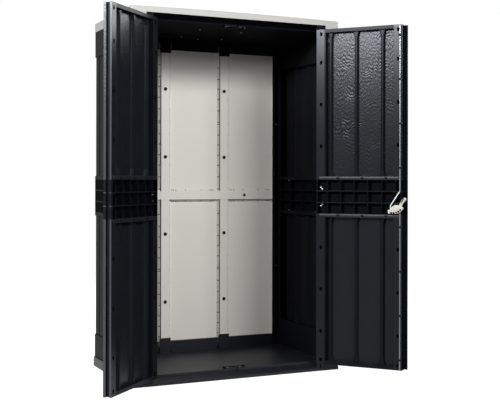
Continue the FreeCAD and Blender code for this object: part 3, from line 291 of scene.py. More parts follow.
def moulded_resin(name, origin, turn, outer_level, gloss, grain, edge_gloss, lit_tone):
    """Blow moulded HDPE: wood grain in the planks, smooth ribs and flanges, soft edges.

    The eye sees a near black satin plastic whose planks catch the light in small arched ripples. They are
    level lines of a noise drawn out up the door: height = sin(2 pi (z / pitch + RING_BEND * noise)),
    strong only in patches, over a fine fleck. A turned Mapping node gives the place along the panel, and
    the depth from its inner face. The depth keeps the grain in the fields between the ribs. Together they
    find the belt between its joint bars, the stiles' sockets, the ribs and the channel in the free edge,
    and paint shade there: all of them lose gloss, and the sockets, the channel and the belt's cells are
    painted darker. The free edge lies past DOOR_EDGE_U and has its own gloss, set per door as painted
    highlight and shade. The last argument scales the colours for how the piece is lit: painted light and
    shade."""
    sizes = bpy.context.scene.cabinet_sizes
    colours = bpy.context.scene.cabinet_colours
    material, tree, shader = finish(name, colours.wall_resin, 0.27, ior=1.53, specular=gloss,
                                    specular_tint=COOL_TINT)
    where = add(tree, "ShaderNodeTexCoord", {}, {}, {}).outputs["Object"]
    turned = add(tree, "ShaderNodeMapping", {"vector_type": "TEXTURE"},
                 {"Location": origin * MM, "Rotation": (0, 0, turn)}, {"Vector": where})
    parts = add(tree, "ShaderNodeSeparateXYZ", {}, {}, {0: turned})

    # Level lines of a noise, in patches
    knot_place = add(tree, "ShaderNodeVectorMath", {"operation": "MULTIPLY"},
                     {1: (1 / sizes.knot_width, 0.0, KNOT_STRETCH / sizes.knot_width)}, {0: turned})
    knots = add(tree, "ShaderNodeTexNoise", {}, {"Scale": 1.0, "Detail": 1.0}, {"Vector": knot_place})
    climb = add(tree, "ShaderNodeMath", {"operation": "MULTIPLY"}, {1: 2 * pi / sizes.ring_pitch},
                {0: parts.outputs[2]})
    phase = add(tree, "ShaderNodeMath", {"operation": "MULTIPLY_ADD"}, {1: 2 * pi * RING_BEND},
                {0: knots, 2: climb})
    rings = add(tree, "ShaderNodeMath", {"operation": "SINE"}, {}, {0: phase})
    patch_place = add(tree, "ShaderNodeVectorMath", {"operation": "MULTIPLY"},
                      {1: (1 / sizes.patch_width, 0.0, 1 / sizes.patch_width)}, {0: turned})
    patches = add(tree, "ShaderNodeTexNoise", {}, {"Scale": 1.0, "Detail": 1.0}, {"Vector": patch_place})
    strong = add(tree, "ShaderNodeMapRange", {},
                 {"From Min": PATCH_LEVELS[0], "From Max": PATCH_LEVELS[1], "To Min": PATCH_LEAST},
                 {0: patches})
    ripples = add(tree, "ShaderNodeMath", {"operation": "MULTIPLY"}, {}, {0: rings, 1: strong})
    fleck_place = add(tree, "ShaderNodeVectorMath", {"operation": "MULTIPLY"},
                      {1: (1 / sizes.fleck_width, 0.0, FLECK_STRETCH / sizes.fleck_width)}, {0: turned})
    flecks = add(tree, "ShaderNodeTexNoise", {}, {"Scale": 1.0, "Detail": 2.0}, {"Vector": fleck_place})
    woodgrain = add(tree, "ShaderNodeMath", {"operation": "MULTIPLY_ADD"}, {1: FLECK_SHARE},
                    {0: flecks, 2: ripples})

    # Only the fields between the ribs carry the grain
    depth = add(tree, "ShaderNodeMath", {"operation": "ABSOLUTE"}, {}, {0: parts.outputs[1]})
    below_ribs = add(tree, "ShaderNodeMath", {"operation": "GREATER_THAN"}, {1: RIB_DEPTH * MM}, {0: depth})
    above_skin = add(tree, "ShaderNodeMath", {"operation": "LESS_THAN"}, {1: (outer_level + 1.0) * MM},
                     {0: depth})
    in_field = add(tree, "ShaderNodeMath", {"operation": "MULTIPLY"}, {}, {0: below_ribs, 1: above_skin})
    relief = add(tree, "ShaderNodeMath", {"operation": "MULTIPLY"}, {}, {0: woodgrain, 1: in_field})
    soft = add(tree, "ShaderNodeBevel", {"samples": 4}, {"Radius": sizes.edge_round}, {})
    bump = add(tree, "ShaderNodeBump", {}, {"Strength": 1.0, "Distance": sizes.grain_depth * grain},
               {"Height": relief, "Normal": soft})
    tree.links.new(bump.outputs[0], shader.inputs["Normal"])

    # Painted shade: the belt's cells, the sockets, the channel in the free edge, and the ribs lose gloss
    rise = add(tree, "ShaderNodeMath", {"operation": "SUBTRACT"}, {1: MID_Z * MM}, {0: parts.outputs[2]})
    height = add(tree, "ShaderNodeMath", {"operation": "ABSOLUTE"}, {}, {0: rise})
    belt = add(tree, "ShaderNodeMath", {"operation": "LESS_THAN"}, {1: BELT_OPEN_HALF * MM}, {0: height})
    rib = add(tree, "ShaderNodeMath", {"operation": "COMPARE"}, {1: BELT_RIB * MM, 2: BELT_RIB_HALF * MM},
              {0: height})
    cells = add(tree, "ShaderNodeMath", {"operation": "SUBTRACT"}, {}, {0: belt, 1: rib})
    edge = add(tree, "ShaderNodeMath", {"operation": "GREATER_THAN"}, {1: DOOR_EDGE_U * MM},
               {0: parts.outputs[0]})
    hole_depth = add(tree, "ShaderNodeMath", {"operation": "COMPARE"},
                     {1: STILE_HOLE_DEPTH * 0.6 * MM, 2: STILE_HOLE_DEPTH * 0.5 * MM}, {0: depth})
    planks_start, planks_end = PLANKS_U
    planked = add(tree, "ShaderNodeMath", {"operation": "COMPARE"},
                  {1: (planks_start + planks_end) / 2 * MM, 2: (planks_end - planks_start) / 2 * MM},
                  {0: parts.outputs[0]})
    elsewhere = add(tree, "ShaderNodeMath", {"operation": "MAXIMUM"}, {}, {0: planked, 1: edge})
    stile = add(tree, "ShaderNodeMath", {"operation": "SUBTRACT"}, {0: 1.0}, {1: elsewhere})
    sockets = add(tree, "ShaderNodeMath", {"operation": "MULTIPLY"}, {}, {0: hole_depth, 1: stile})
    channel_top, channel_bottom = EDGE_CHANNEL
    channel_depth = add(tree, "ShaderNodeMath", {"operation": "COMPARE"},
                        {1: (channel_top + channel_bottom) / 2 * MM,
                         2: (channel_bottom - channel_top) / 2 * MM},
                        {0: depth})
    channel = add(tree, "ShaderNodeMath", {"operation": "MULTIPLY"}, {}, {0: channel_depth, 1: edge})
    recessed = add(tree, "ShaderNodeMath", {"operation": "MAXIMUM"}, {}, {0: cells, 1: sockets})
    hollow = add(tree, "ShaderNodeMath", {"operation": "MAXIMUM"}, {}, {0: recessed, 1: channel})
    raised = add(tree, "ShaderNodeMath", {"operation": "SUBTRACT"}, {}, {0: planked, 1: below_ribs})
    shaded_ribs = add(tree, "ShaderNodeMath", {"operation": "MULTIPLY"}, {1: RIB_MATT}, {0: raised})
    matt = add(tree, "ShaderNodeMath", {"operation": "MAXIMUM"}, {}, {0: hollow, 1: shaded_ribs})
    polish = add(tree, "ShaderNodeMapRange", {}, {"To Min": gloss, "To Max": edge_gloss}, {"Value": edge})
    dull = add(tree, "ShaderNodeMapRange", {}, {"To Min": 1.0, "To Max": MATT_GLOSS}, {"Value": matt})
    shine = add(tree, "ShaderNodeMath", {"operation": "MULTIPLY"}, {}, {0: polish, 1: dull})
    tree.links.new(shine.outputs[0], shader.inputs["Specular IOR Level"])

    # Slow changes of colour and polish over the panel; both colours are also scaled per piece for how it
    # is lit, as painted light and shade
    cloud = add(tree, "ShaderNodeTexNoise", {}, {"Scale": 9.0, "Detail": 3.0}, {"Vector": where})
    rough = add(tree, "ShaderNodeMapRange", {}, {"To Min": 0.22, "To Max": 0.28}, {"Value": cloud})
    tree.links.new(rough.outputs[0], shader.inputs["Roughness"])
    fresh, worn = ([c * lit_tone for c in colour] for colour in (colours.wall_resin, colours.wall_resin_worn))
    blend = add(tree, "ShaderNodeMix", {"data_type": "RGBA"}, {6: (*fresh, 1), 7: (*worn, 1)}, {0: cloud})
    # Painted shade in the base colour: sockets and channel nearly black, the belt's cells darker by a share
    shaded = add(tree, "ShaderNodeMath", {"operation": "MAXIMUM"}, {}, {0: sockets, 1: channel})
    in_shade = add(tree, "ShaderNodeMath", {"operation": "MULTIPLY"}, {1: SOCKET_SHADE}, {0: shaded})
    painted_shade = add(tree, "ShaderNodeMath", {"operation": "MULTIPLY_ADD"}, {1: CELL_SHADE},
                 {0: cells, 2: in_shade})
    tint = add(tree, "ShaderNodeMix", {"data_type": "RGBA"}, {7: (0, 0, 0, 1)},
               {0: painted_shade, 6: blend.outputs[2]})
    tree.links.new(tint.outputs[2], shader.inputs["Base Color"])
    return material


def plain_resin(name, colour, roughness, mottling, bump_size, specular=0.5, specular_tint=(1, 1, 1)):
    """Injection moulded resin: an even satin colour with a fine orange-peel skin and softened edges."""
    sizes = bpy.context.scene.cabinet_sizes
    material, tree, shader = finish(name, colour, roughness, specular=specular, specular_tint=specular_tint)
    where = add(tree, "ShaderNodeTexCoord", {}, {}, {}).outputs["Object"]
    skin = add(tree, "ShaderNodeTexNoise", {}, {"Scale": 1 / bump_size, "Detail": 2.0}, {"Vector": where})
    soft = add(tree, "ShaderNodeBevel", {"samples": 4}, {"Radius": sizes.edge_round}, {})
    bump = add(tree, "ShaderNodeBump", {}, {"Strength": 0.3, "Distance": 0.0002},
               {"Height": skin, "Normal": soft})
    tree.links.new(bump.outputs[0], shader.inputs["Normal"])
    cloud = add(tree, "ShaderNodeTexNoise", {}, {"Scale": 6.0, "Detail": 3.0}, {"Vector": where})
    shade = tuple(c * (1 - mottling) for c in colour)
    tint = add(tree, "ShaderNodeMix", {"data_type": "RGBA"}, {6: (*colour, 1), 7: (*shade, 1)}, {0: cloud})
    tree.links.new(tint.outputs[2], shader.inputs["Base Color"])
    return material


def zinc_steel(name, colour, roughness, stretch, bend_highlight=None):
    """Zinc plated steel, drawn bar: light grey metal with fine lengthwise streaks.

    stretch holds the streaks per metre along x, y and z; the bar's own length has the fewest. The last
    argument is a painted highlight: the colour below ROD_BEND_Z, which makes the bent end bright."""
    material, tree, shader = finish(name, colour, roughness, metallic=1.0)
    where = add(tree, "ShaderNodeTexCoord", {}, {}, {}).outputs["Object"]
    streaks = add(tree, "ShaderNodeVectorMath", {"operation": "MULTIPLY"}, {1: stretch}, {0: where})
    lines = add(tree, "ShaderNodeTexNoise", {}, {"Scale": 1.0, "Detail": 2.0}, {"Vector": streaks})
    rough = add(tree, "ShaderNodeMapRange", {}, {"To Min": roughness - 0.02, "To Max": roughness + 0.02},
                {"Value": lines})
    tree.links.new(rough.outputs[0], shader.inputs["Roughness"])
    bump = add(tree, "ShaderNodeBump", {}, {"Strength": 0.1, "Distance": 0.00005}, {"Height": lines})
    tree.links.new(bump.outputs[0], shader.inputs["Normal"])
    # A painted highlight: the bent end below ROD_BEND_Z takes the brighter colour
    if bend_highlight:
        parts = add(tree, "ShaderNodeSeparateXYZ", {}, {}, {0: where})
        above = add(tree, "ShaderNodeMapRange", {},
                    {"From Min": (ROD_BEND_Z - 8.0) * MM, "From Max": ROD_BEND_Z * MM},
                    {"Value": parts.outputs[2]})
        tint = add(tree, "ShaderNodeMix", {"data_type": "RGBA"}, {6: (*bend_highlight, 1), 7: (*colour, 1)},
                   {0: above})
        tree.links.new(tint.outputs[2], shader.inputs["Base Color"])
    return material


# User settings


class CabinetSizes(bpy.types.PropertyGroup):
    ring_pitch: bpy.props.FloatProperty(
        name="Ring pitch", description="Rise from one ripple of the grain to the next", default=0.02,
        unit="LENGTH")
    knot_width: bpy.props.FloatProperty(
        name="Knot width", description="Width of the grain's arches", default=0.04, unit="LENGTH")
    patch_width: bpy.props.FloatProperty(
        name="Patch width", description="Size of the patches where the grain is deep", default=0.1,
        unit="LENGTH")
    fleck_width: bpy.props.FloatProperty(
        name="Fleck width", description="Width of the fine flecks between the ripples", default=0.0065,
        unit="LENGTH")
    grain_depth: bpy.props.FloatProperty(
        name="Grain depth", description="Height of the grain's relief", default=0.0003, unit="LENGTH")
    edge_round: bpy.props.FloatProperty(
        name="Edge softness", description="Radius that moulded edges seem to have", default=0.0016,
        unit="LENGTH")
    lever_length: bpy.props.FloatProperty(
        name="Lever length", description="Length of the lever's body", default=0.082, unit="LENGTH")
    lever_half_width: bpy.props.FloatProperty(
        name="Lever half width", description="Half the lever's widest part", default=0.022, unit="LENGTH")
    lever_half_depth: bpy.props.FloatProperty(
        name="Lever half depth", description="Half the lever's thickness", default=0.004, unit="LENGTH")
    bar_crown: bpy.props.FloatProperty(
        name="Joint bar crown", description="Height of the bars along the belt's joints", default=0.0024,
        unit="LENGTH")
    tick_length: bpy.props.FloatProperty(
        name="Tick length", description="Length of a clip mark on the back wall", default=0.014,
        unit="LENGTH")
    plug_cross: bpy.props.FloatProperty(
        name="Plug cross radius", description="Radius of the cross on a plug", default=0.0095,
        unit="LENGTH")
    dimple_radius: bpy.props.FloatProperty(
        name="Dimple radius", description="Radius of the marks in floor and ceiling", default=0.005,
        unit="LENGTH")


class CabinetColours(bpy.types.PropertyGroup):
    wall_resin: bpy.props.FloatVectorProperty(
        name="Wall resin", description="Dark anthracite resin", subtype="COLOR", default=linear("#14151A"))
    wall_resin_worn: bpy.props.FloatVectorProperty(
        name="Wall resin, dull", description="Duller patches of it", subtype="COLOR",
        default=linear("#191A1F"))
    back_resin: bpy.props.FloatVectorProperty(
        name="Back resin", description="Warm light grey resin", subtype="COLOR", default=linear("#ECE8E1"))
    roof_resin: bpy.props.FloatVectorProperty(
        name="Roof resin", description="Light grey resin", subtype="COLOR", default=linear("#93928F"))
    steel: bpy.props.FloatVectorProperty(
        name="Steel", description="Zinc plated steel", subtype="COLOR", default=linear("#74777A"))
    # Also the colour of the painted highlight on the upper rod's bent end
    screw_steel: bpy.props.FloatVectorProperty(
        name="Screw steel", description="Bright zinc of the screws", subtype="COLOR",
        default=linear("#D5DADD"))
    black: bpy.props.FloatVectorProperty(
        name="Black plastic", description="Black moulded plastic", subtype="COLOR",
        default=linear("#141416"))
    # A black for painted shade: in the stiles' holes, the back wall's open joints, the belt's notches and the
    # lever's recesses
    shadow_black: bpy.props.FloatVectorProperty(
        name="Matt black", description="Liners, seals and notches", subtype="COLOR",
        default=linear("#060607"))
    # Also the grey of the painted shade in the back wall's slot marks
    plug: bpy.props.FloatVectorProperty(
        name="Plug", description="Dark grey plugs and marks", subtype="COLOR", default=linear("#4A4846"))
    lever: bpy.props.FloatVectorProperty(
        name="Lever", description="Off-white lever", subtype="COLOR", default=linear("#B2AFA7"))


def door_start(side):
    """Where a door's inner face starts at the hinge, and how its u axis is turned."""
    along, _, corner = door_axes(side)
    return corner, float(np.arctan2(along[1], along[0]))


def material_named(name):
    return bpy.data.materials[name]


# Operators


class CABINET_OT_finishes(bpy.types.Operator):
    """Gives every CAD node the finish of its material; some finishes carry painted light and shade"""

    bl_idname = "cabinet.finishes"
    bl_label = "Finishes"

    def execute(self, context):
        colours = context.scene.cabinet_colours
        upright, level = (900, 900, 60), (60, 900, 900)
        plain = {
            # Blow moulded HDPE with a coarse skin: near black, satin on the floor and dull under the roof
            "tray": plain_resin("moulded_resin_base", colours.wall_resin, 0.42, 0.12, 0.004, 0.25, COOL_TINT),
            "ceiling": plain_resin("matt_resin_ceiling", colours.wall_resin, 0.5, 0.12, 0.004, 0.005,
                                   COOL_TINT),
            # Injection moulded polypropylene: pale, even and satin, so that shadows show soft on it
            "back": plain_resin("satin_resin_back", colours.back_resin, 0.55, 0.03, 0.0015),
            "roof": plain_resin("satin_resin_roof", colours.roof_resin, 0.45, 0.02, 0.0015),
            # Glass filled nylon of the fittings: black, with hardly a highlight. The belt's joint screws take
            # the same black as painted shade
            "black": plain_resin("moulded_black_plastic", colours.black, 0.45, 0.15, 0.0012, 0.08),
            # Dark grey plugs; the same grey paints shade into the back wall's slot marks
            "plug": plain_resin("grey_plastic_plugs", colours.plug, 0.5, 0.08, 0.0012, 0.2),
            # Drawn steel bar and pressed screws, zinc plated: light grey streaks along the bar
            "steel": zinc_steel("zinc_plated_steel", colours.steel, 0.36, upright),
            # The upper rod's bent end gets a painted highlight in the screws' bright zinc
            "rod": zinc_steel("zinc_plated_upper_rod", colours.steel, 0.36, upright, colours.screw_steel),
            "screw": zinc_steel("zinc_plated_screws", colours.screw_steel, 0.32, level),
        }
        # For the pieces below: smooth dark bars, an off-white satin lever, and a matt black that paints shade
        # into holes, joints, notches and recesses
        plain_resin("glossy_belt_resin", colours.wall_resin, 0.42, 0.1, 0.004, 0.26, COOL_TINT)
        plain_resin("satin_lever_plastic", colours.lever, 0.45, 0.02, 0.0012, 0.3)
        plain_resin("painted_shade_black", colours.shadow_black, 0.7, 0.15, 0.0012, 0.005)

        # Gloss, grain, gloss of the free edge and tone. Tone and the free edges' gloss are set per piece for
        # how each is lit: painted light and shade
        door_looks = {"right": (0.115, 1.0, 0.01, 0.8), "left": (0.08, 0.7, 0.75, 1.25)}
        wall_look = (0.006, 0.6, 0.006, 0.7)
        door_outer, wall_outer = 42.0, 40.0
        moulded = {}
        for side in ("right", "left"):
            corner, turn = door_start(side)
            sign = 1 if side == "right" else -1
            front = np.array([sign * WALL_INNER, -HALF_DEPTH, 0.0])
            moulded[side + "_door"] = moulded_resin("moulded_resin_" + side + "_door", corner, turn,
                                                    door_outer, *door_looks[side])
            moulded[side + "_wall"] = moulded_resin("moulded_resin_" + side + "_wall", front, pi / 2,
                                                    wall_outer, *wall_look)
        for name, node in NODES.items():
            node.data.materials.clear()
            owner = "_".join(name.split("_")[:2])
            node.data.materials.append(moulded[owner] if self.is_panel(name) else plain[self.kind(name)])
        return {"FINISHED"}

    def is_panel(self, name):
        hardware = ("screw", "hinge", "bracket")
        return name.startswith(("right_door", "left_door", "right_wall", "left_wall")) and not any(
            word in name for word in hardware)

    def kind(self, name):
        if name == "roof_cap":
            return "roof"
        if name == "ceiling_tray":
            return "ceiling"
        if name.startswith("back_") and "panel" in name:
            return "back"
        if name == "back_wall_plugs":
            return "plug"
        # The belt's joint screws are steel; the black is painted shade, for they lie in shadow
        if name.endswith("joint_screws"):
            return "black"
        if "screw" in name:
            return "screw"
        if name == "upper_lock_rod":
            return "rod"
        if name.endswith(("pin", "pins", "rod", "spindle")):
            return "steel"
        fittings = ("lock_rod_guides", "handle_rosette", "outside_handle", "lock_hub")
        if name.endswith(("bracket", "keeper")) or name in fittings:
            return "black"
        return "tray"


class CABINET_OT_lock_lever(bpy.types.Operator):
    """The cast lever of the rod lock, its two crank pins, its collar and its catch"""

    bl_idname = "cabinet.lock_lever"
    bl_label = "Lock lever"

    def execute(self, context):
        sizes = context.scene.cabinet_sizes
        plastic = material_named("satin_lever_plastic")
        u_axis, w_axis, _ = door_axes("right")
        tilt = radians(LEVER_TILT)
        length, half = sizes.lever_length / MM, sizes.lever_half_width / MM
        rows = 48
        t = np.linspace(0, 1, rows)
        blunt = np.sqrt(np.clip(1 - np.abs(2 * t - 1) ** 20, 0, 1))

        # Body: a lens whose half width is half * sin(pi (0.02 + 0.93 t)), bowed up by bow * sin(pi t)
        heel, bow = 36.0, 2.5
        forward = np.array([cos(tilt), sin(tilt)])
        lift = np.array([-sin(tilt), cos(tilt)])
        body = (length * t - heel)[:, None] * forward + (bow * np.sin(pi * t))[:, None] * lift
        body_half = half * np.sin(pi * (0.02 + 0.93 * t)) * blunt
        body_deep = sizes.lever_half_depth / MM * (0.6 + 0.4 * np.sin(pi * t)) * blunt

        # Arm: the parabola (1 - t)^2 shoulder + 2 t (1 - t) bend + t^2 tip, a little thinner at its tip
        shoulder, bend, tip = np.array([24.0, 4.0]), np.array([27.5, 35.5]), np.array([57.0, 61.0])
        arm = (1 - t)[:, None] ** 2 * shoulder + 2 * ((1 - t) * t)[:, None] * bend + t[:, None] ** 2 * tip
        heading = np.gradient(arm, axis=0)
        heading /= np.linalg.norm(heading, axis=1)[:, None]
        arm_normal = np.stack([-heading[:, 1], heading[:, 0]], axis=1)
        arm_half, arm_deep = (9.0 - 1.8 * t) * blunt, (3.6 - 0.5 * t) * blunt

        def on_lever(places, lift_off):
            return on_door("right", HUB_U + places[:, 0], LEVER_W - lift_off, HUB_Z + places[:, 1])

        def in_plane(vectors):
            return vectors[:, :1] * u_axis + vectors[:, 1:] * np.array(UP, float)

        lever = surface("lock_lever", [
            sweep(on_lever(body, 0.0), in_plane(np.tile(lift, (rows, 1))), w_axis, body_half, body_deep, 28),
            sweep(on_lever(arm, -0.4), in_plane(arm_normal), w_axis, arm_half, arm_deep, 20),
        ], "lock", plastic)
        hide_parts("lock_hub")

        # Recesses: a groove along the arm, teeth along the body's lower edge, and an eye, drawn in black as
        # painted shade
        groove_lift, teeth_lift, eye_lift = 2.2, 2.6, 3.1
        part = slice(23, 42)
        swell = np.sin(np.linspace(0.05, pi - 0.05, part.stop - part.start)) ** 0.3
        groove = sweep(on_lever((arm + 2.4 * arm_normal)[part], groove_lift), in_plane(arm_normal[part]),
                       w_axis, 2.6 * swell, 1.6 * swell, 12)
        teeth_places = np.array([(-16.9, -12.6), (-5.1, -13.8), (7.7, -10.4), (19.4, -4.8), (29.0, 3.0)])
        teeth = studs(list(on_lever(teeth_places, teeth_lift)), u_axis, UP, -w_axis,
                      boss(4.0, 4.6, -1.5, 1.5, 1.8, 0.5), corner=3, columns=16)
        eye = studs(list(on_lever(np.array([(-1.6, 14.8)]), eye_lift)), u_axis, UP, -w_axis,
                    boss(1.7, 1.7, -0.5, 0.4, 0.5, 0.5), columns=16)
        surface("lock_lever_recess_shade", [groove] + teeth + eye, "lock", material_named("painted_shade_black"))

        # Crank pins, collar round the spindle, and the catch under the finger end
        run, rise = CRANK_RADIUS * cos(radians(CRANK_TILT)), CRANK_RADIUS * sin(radians(CRANK_TILT))
        pin_places = [on_door("right", HUB_U + s * run, LOCK_FOOT_W, HUB_Z + s * rise) for s in (-1, 1)]
        pins = studs(pin_places, u_axis, UP, w_axis,
                     boss(CRANK_PIN_RADIUS, CRANK_PIN_RADIUS, 0, 8.2, 8.7, 0.4), columns=20)
        collar = studs([on_door("right", HUB_U, LOCK_FOOT_W, HUB_Z)], u_axis, UP, w_axis,
                       boss(COLLAR_RADIUS, COLLAR_RADIUS, 0, 11, 11.4, 0.4), columns=32)
        catch = studs([on_door("right", HUB_U + 50, -11.0, HUB_Z + 50)], u_axis, UP, w_axis,
                      boss(4.5, 4.5, 0, 8.5, 9.2, 0.5), corner=5, columns=24)
        surface("lock_lever_pins", pins + collar + catch, "lock", plastic)
        return {"FINISHED"}


class CABINET_OT_wall_marks(bpy.types.Operator):
    """Painted shade of the slots by the back wall's fields and of its open joints, joint covers, and plugs"""

    bl_idname = "cabinet.wall_marks"
    bl_label = "Back wall marks"

    def execute(self, context):
        sizes = context.scene.cabinet_sizes
        half = sizes.tick_length / MM / 2
        half_width, stub, stub_half_width, rail_half = 2.2, half * 0.35, 2.4, half * 0.8
        slope = np.hypot(STILE_RUN, STILE_RISE)
        lean, drop = STILE_RUN / slope, STILE_RISE / slope
        middle = STILE_FRONT_Y + STILE_RISE / 2
        rail_top = MID_Z + STILE_HALF + STILE_RUN / 2
        rail_foot = MID_Z - STILE_HALF - BACK_JOINT - STILE_RUN / 2
        heights = [130, 187, 244, 300, 361, 424, 488, 498, 561, 618, 675, 734, 798,
                   936, 1004, 1068, 1125, 1183, 1239, 1299, 1309, 1375, 1439, 1497, 1551, 1616]
        marks = []
        for stile in BACK_STILES:
            left = stile - STILE_HALF - BACK_JOINT - STILE_RUN / 2
            right = stile + STILE_HALF + STILE_RUN / 2
            marks += self.ticks([(left, middle, z) for z in heights], (lean, -drop, 0), UP, (-drop, -lean, 0),
                                half, half_width)
            marks += self.ticks([(right, middle, z) for z in heights], (lean, drop, 0), UP, (drop, -lean, 0),
                                stub, stub_half_width)
        for field in (-349.0, 0.0, 349.0):
            places = [field + x for x in (-134, -124, -110, -54, 41, 95, 104, 113)]
            marks += self.ticks([(x, middle, rail_top) for x in places], (1, 0, 0),
                                (0, -drop, -lean), (0, -lean, drop), half_width, rail_half)
            marks += self.ticks([(x, middle, rail_foot) for x in places], (1, 0, 0),
                                (0, -drop, lean), (0, -lean, -drop), half_width, rail_half)
        # The ticks are grey marks of painted shade, where the back wall has small slots
        surface("back_wall_slot_shade", marks, "cabinet", material_named("grey_plastic_plugs"))
        self.joint_shade_lines()
        self.plug_crosses(sizes.plug_cross / MM)
        return {"FINISHED"}

    def ticks(self, places, across, along, out, long_half, short_half):
        """Low bars of near rectangular plan, half a millimetre proud."""
        rings = [(0, 0, -0.4), (1, 1, -0.4), (1, 1, 0.35), (0.85, 0.8, 0.5), (0, 0, 0.5)]
        return studs(places, across, along, out, [(a * long_half, b * short_half, h) for a, b, h in rings],
                     corner=4, columns=16)

    def joint_shade_lines(self):
        """Painted shade in the open joints, as thin black strips, and light cover strips where stiles and
        rail cross them.
        """
        shade_lines, covers = [], []
        ahead = (0, 1, 0)
        shade_section, rail_shade_section, cover_section = (2.2, 0.7), (1.4, 1.2), (1.7, 0.6)
        deep, proud = STILE_FRONT_Y + 0.2, STILE_FRONT_Y + 0.4
        rail_joint = MID_Z - STILE_HALF - BACK_JOINT / 2
        low_rail, high_rail = MID_Z - STILE_HALF - BACK_JOINT, MID_Z + STILE_HALF
        foot, head, wall_edge = 110.0, 1690.0, 500.0
        for stile in BACK_STILES:
            left, right = stile - STILE_HALF, stile + STILE_HALF
            joint = left - BACK_JOINT / 2
            lip = joint - 0.5
            # Strips of painted shade down each open joint, above and below the rail
            for low, high in ((foot, low_rail), (high_rail, head)):
                shade_lines.append(strip((lip, deep, low), (lip, deep, high), (1, 0, 0), ahead, *shade_section))
            covers.append(strip((joint, proud, low_rail), (joint, proud, high_rail), (1, 0, 0), ahead,
                                *cover_section))
            covers.append(strip((left, proud, rail_joint), (right, proud, rail_joint), UP, ahead,
                                *cover_section))
        # Strips of painted shade along the joint under the rail, from the wall's edges to the stiles and
        # between them
        ends = [-wall_edge] + [x for stile in BACK_STILES
                               for x in (stile - STILE_HALF - BACK_JOINT, stile + STILE_HALF)] + [wall_edge]
        for start, end in zip(ends[::2], ends[1::2]):
            shade_lines.append(strip((start, deep, rail_joint), (end, deep, rail_joint), UP, ahead,
                               *rail_shade_section))
        surface("back_joint_seals", shade_lines, "cabinet", material_named("painted_shade_black"))
        surface("back_joint_covers", covers, "cabinet", material_named("satin_resin_back"))

    def plug_crosses(self, radius):
        """Cross-shaped drives on the plugs, about 1 mm proud, and the round plug on the rail.

        The cross is the ring r(t) = r0 (1 - 0.45 |sin 2t|), turned by 45 degrees."""
        rises, rail_plug_x = (211.5, 582.5), 301.0
        places = [(x, STILE_FRONT_Y - 3.0, MID_Z + side * rise) for x in BACK_STILES
                  for rise in rises for side in (-1, 1)]
        turn = radians(45)
        inner = radius - 1.2
        profile = [(0, 0, -0.2), (radius, radius, -0.3), (radius, radius, 0.9), (inner, inner, 0.8),
                   (0, 0, 0.8)]
        crosses = studs(places, (cos(turn), 0, sin(turn)), (-sin(turn), 0, cos(turn)), (0, -1, 0), profile,
                        cross=0.45, columns=48)
        rail_plug = studs([(rail_plug_x, STILE_FRONT_Y, MID_Z)], (1, 0, 0), UP, (0, -1, 0),
                          boss(8, 8, -0.5, 2.2, 3.0, 1.5), columns=32)
        surface("back_plug_crosses", crosses + rail_plug, "cabinet", material_named("moulded_black_plastic"))


class CABINET_OT_belt_trims(bpy.types.Operator):
    """Slightly crowned bars along the belt joints of the doors, with painted shade in the notches at their
    screws
    """

    bl_idname = "cabinet.belt_trims"
    bl_label = "Belt joint bars"

    def execute(self, context):
        rows = 160
        t = np.linspace(0, 1, rows)
        ends = np.sqrt(np.clip(1 - np.abs(2 * t - 1) ** 60, 0, 1))
        top = context.scene.cabinet_sizes.bar_crown / MM
        screws = np.array(BELT_SCREWS)
        bar_start, dip_width, dip_share = 10.0, 9.0, 0.75
        notch = [(0, 0, -0.5), (5.5, 4.6, -0.5), (5.5, 4.6, 0.3), (4.6, 3.6, 0.6), (0, 0, 0.6)]
        bar_lengths = {"right": 434.0, "left": 430.0}
        for side, length in bar_lengths.items():
            u_axis, w_axis, _ = door_axes(side)
            body = side + "_door"

            # The crown sinks by a bell curve at each screw: 1 - 0.75 exp(-((u - screw) / 9)^2)
            u = bar_start + length * t
            near = np.exp(-((u[:, None] - screws) / dip_width) ** 2).sum(axis=1)
            crown = top * (1 - dip_share * near) * ends
            upright = np.tile([0, 0, 1.0], (rows, 1))
            bars = [sweep(on_door(side, u, 0.3, MID_Z + s * BELT_HALF), upright, w_axis,
                          BELT_BAR_HALF * ends, crown, 20) for s in (-1, 1)]
            surface(side + "_belt_bars", bars, body, material_named("glossy_belt_resin"))
            # Black marks of painted shade in the notches at the screws
            places = [on_door(side, u0, -0.4, MID_Z + s * BELT_HALF) for u0 in BELT_SCREWS for s in (-1, 1)]
            dark = studs(places, u_axis, UP, -w_axis, notch, corner=3, columns=20)
            surface(side + "_belt_notch_shade", dark, body, material_named("painted_shade_black"))
        return {"FINISHED"}


class CABINET_OT_hole_shades(bpy.types.Operator):
    """Painted shade in the screw holes down both stiles of each door: black liners with a low rim"""

    bl_idname = "cabinet.hole_liners"
    bl_label = "Stile hole liners"

    def execute(self, context):
        half_u, half_z = STILE_HOLE_HALF
        inside = 1 - STILE_HOLE_DEPTH
        rim_u, rim_z = half_u + 1.6, half_z + 2.0
        profile = [(0, 0, inside), (half_u - 0.3, half_z - 0.3, inside), (half_u - 0.3, half_z - 0.3, 0.0),
                   (rim_u, rim_z, 0.0), (rim_u, rim_z, 0.3), (half_u - 0.6, half_z - 0.6, 0.3),
                   (half_u - 0.8, half_z - 0.8, inside + 0.8), (0, 0, inside + 0.8)]
        heights = [MID_Z + s * share * DOOR_HALF_HEIGHT for share in STILE_HOLE_SHARES for s in (-1, 1)]
        for side in ("right", "left"):
            u_axis, w_axis, _ = door_axes(side)
            places = [on_door(side, u, 0.0, z) for u in STILE_HOLES_U for z in heights]
            shades = studs(places, u_axis, UP, -w_axis, profile, corner=7, columns=28)
            surface(side + "_hole_liners", shades, side + "_door", material_named("painted_shade_black"))
        return {"FINISHED"}


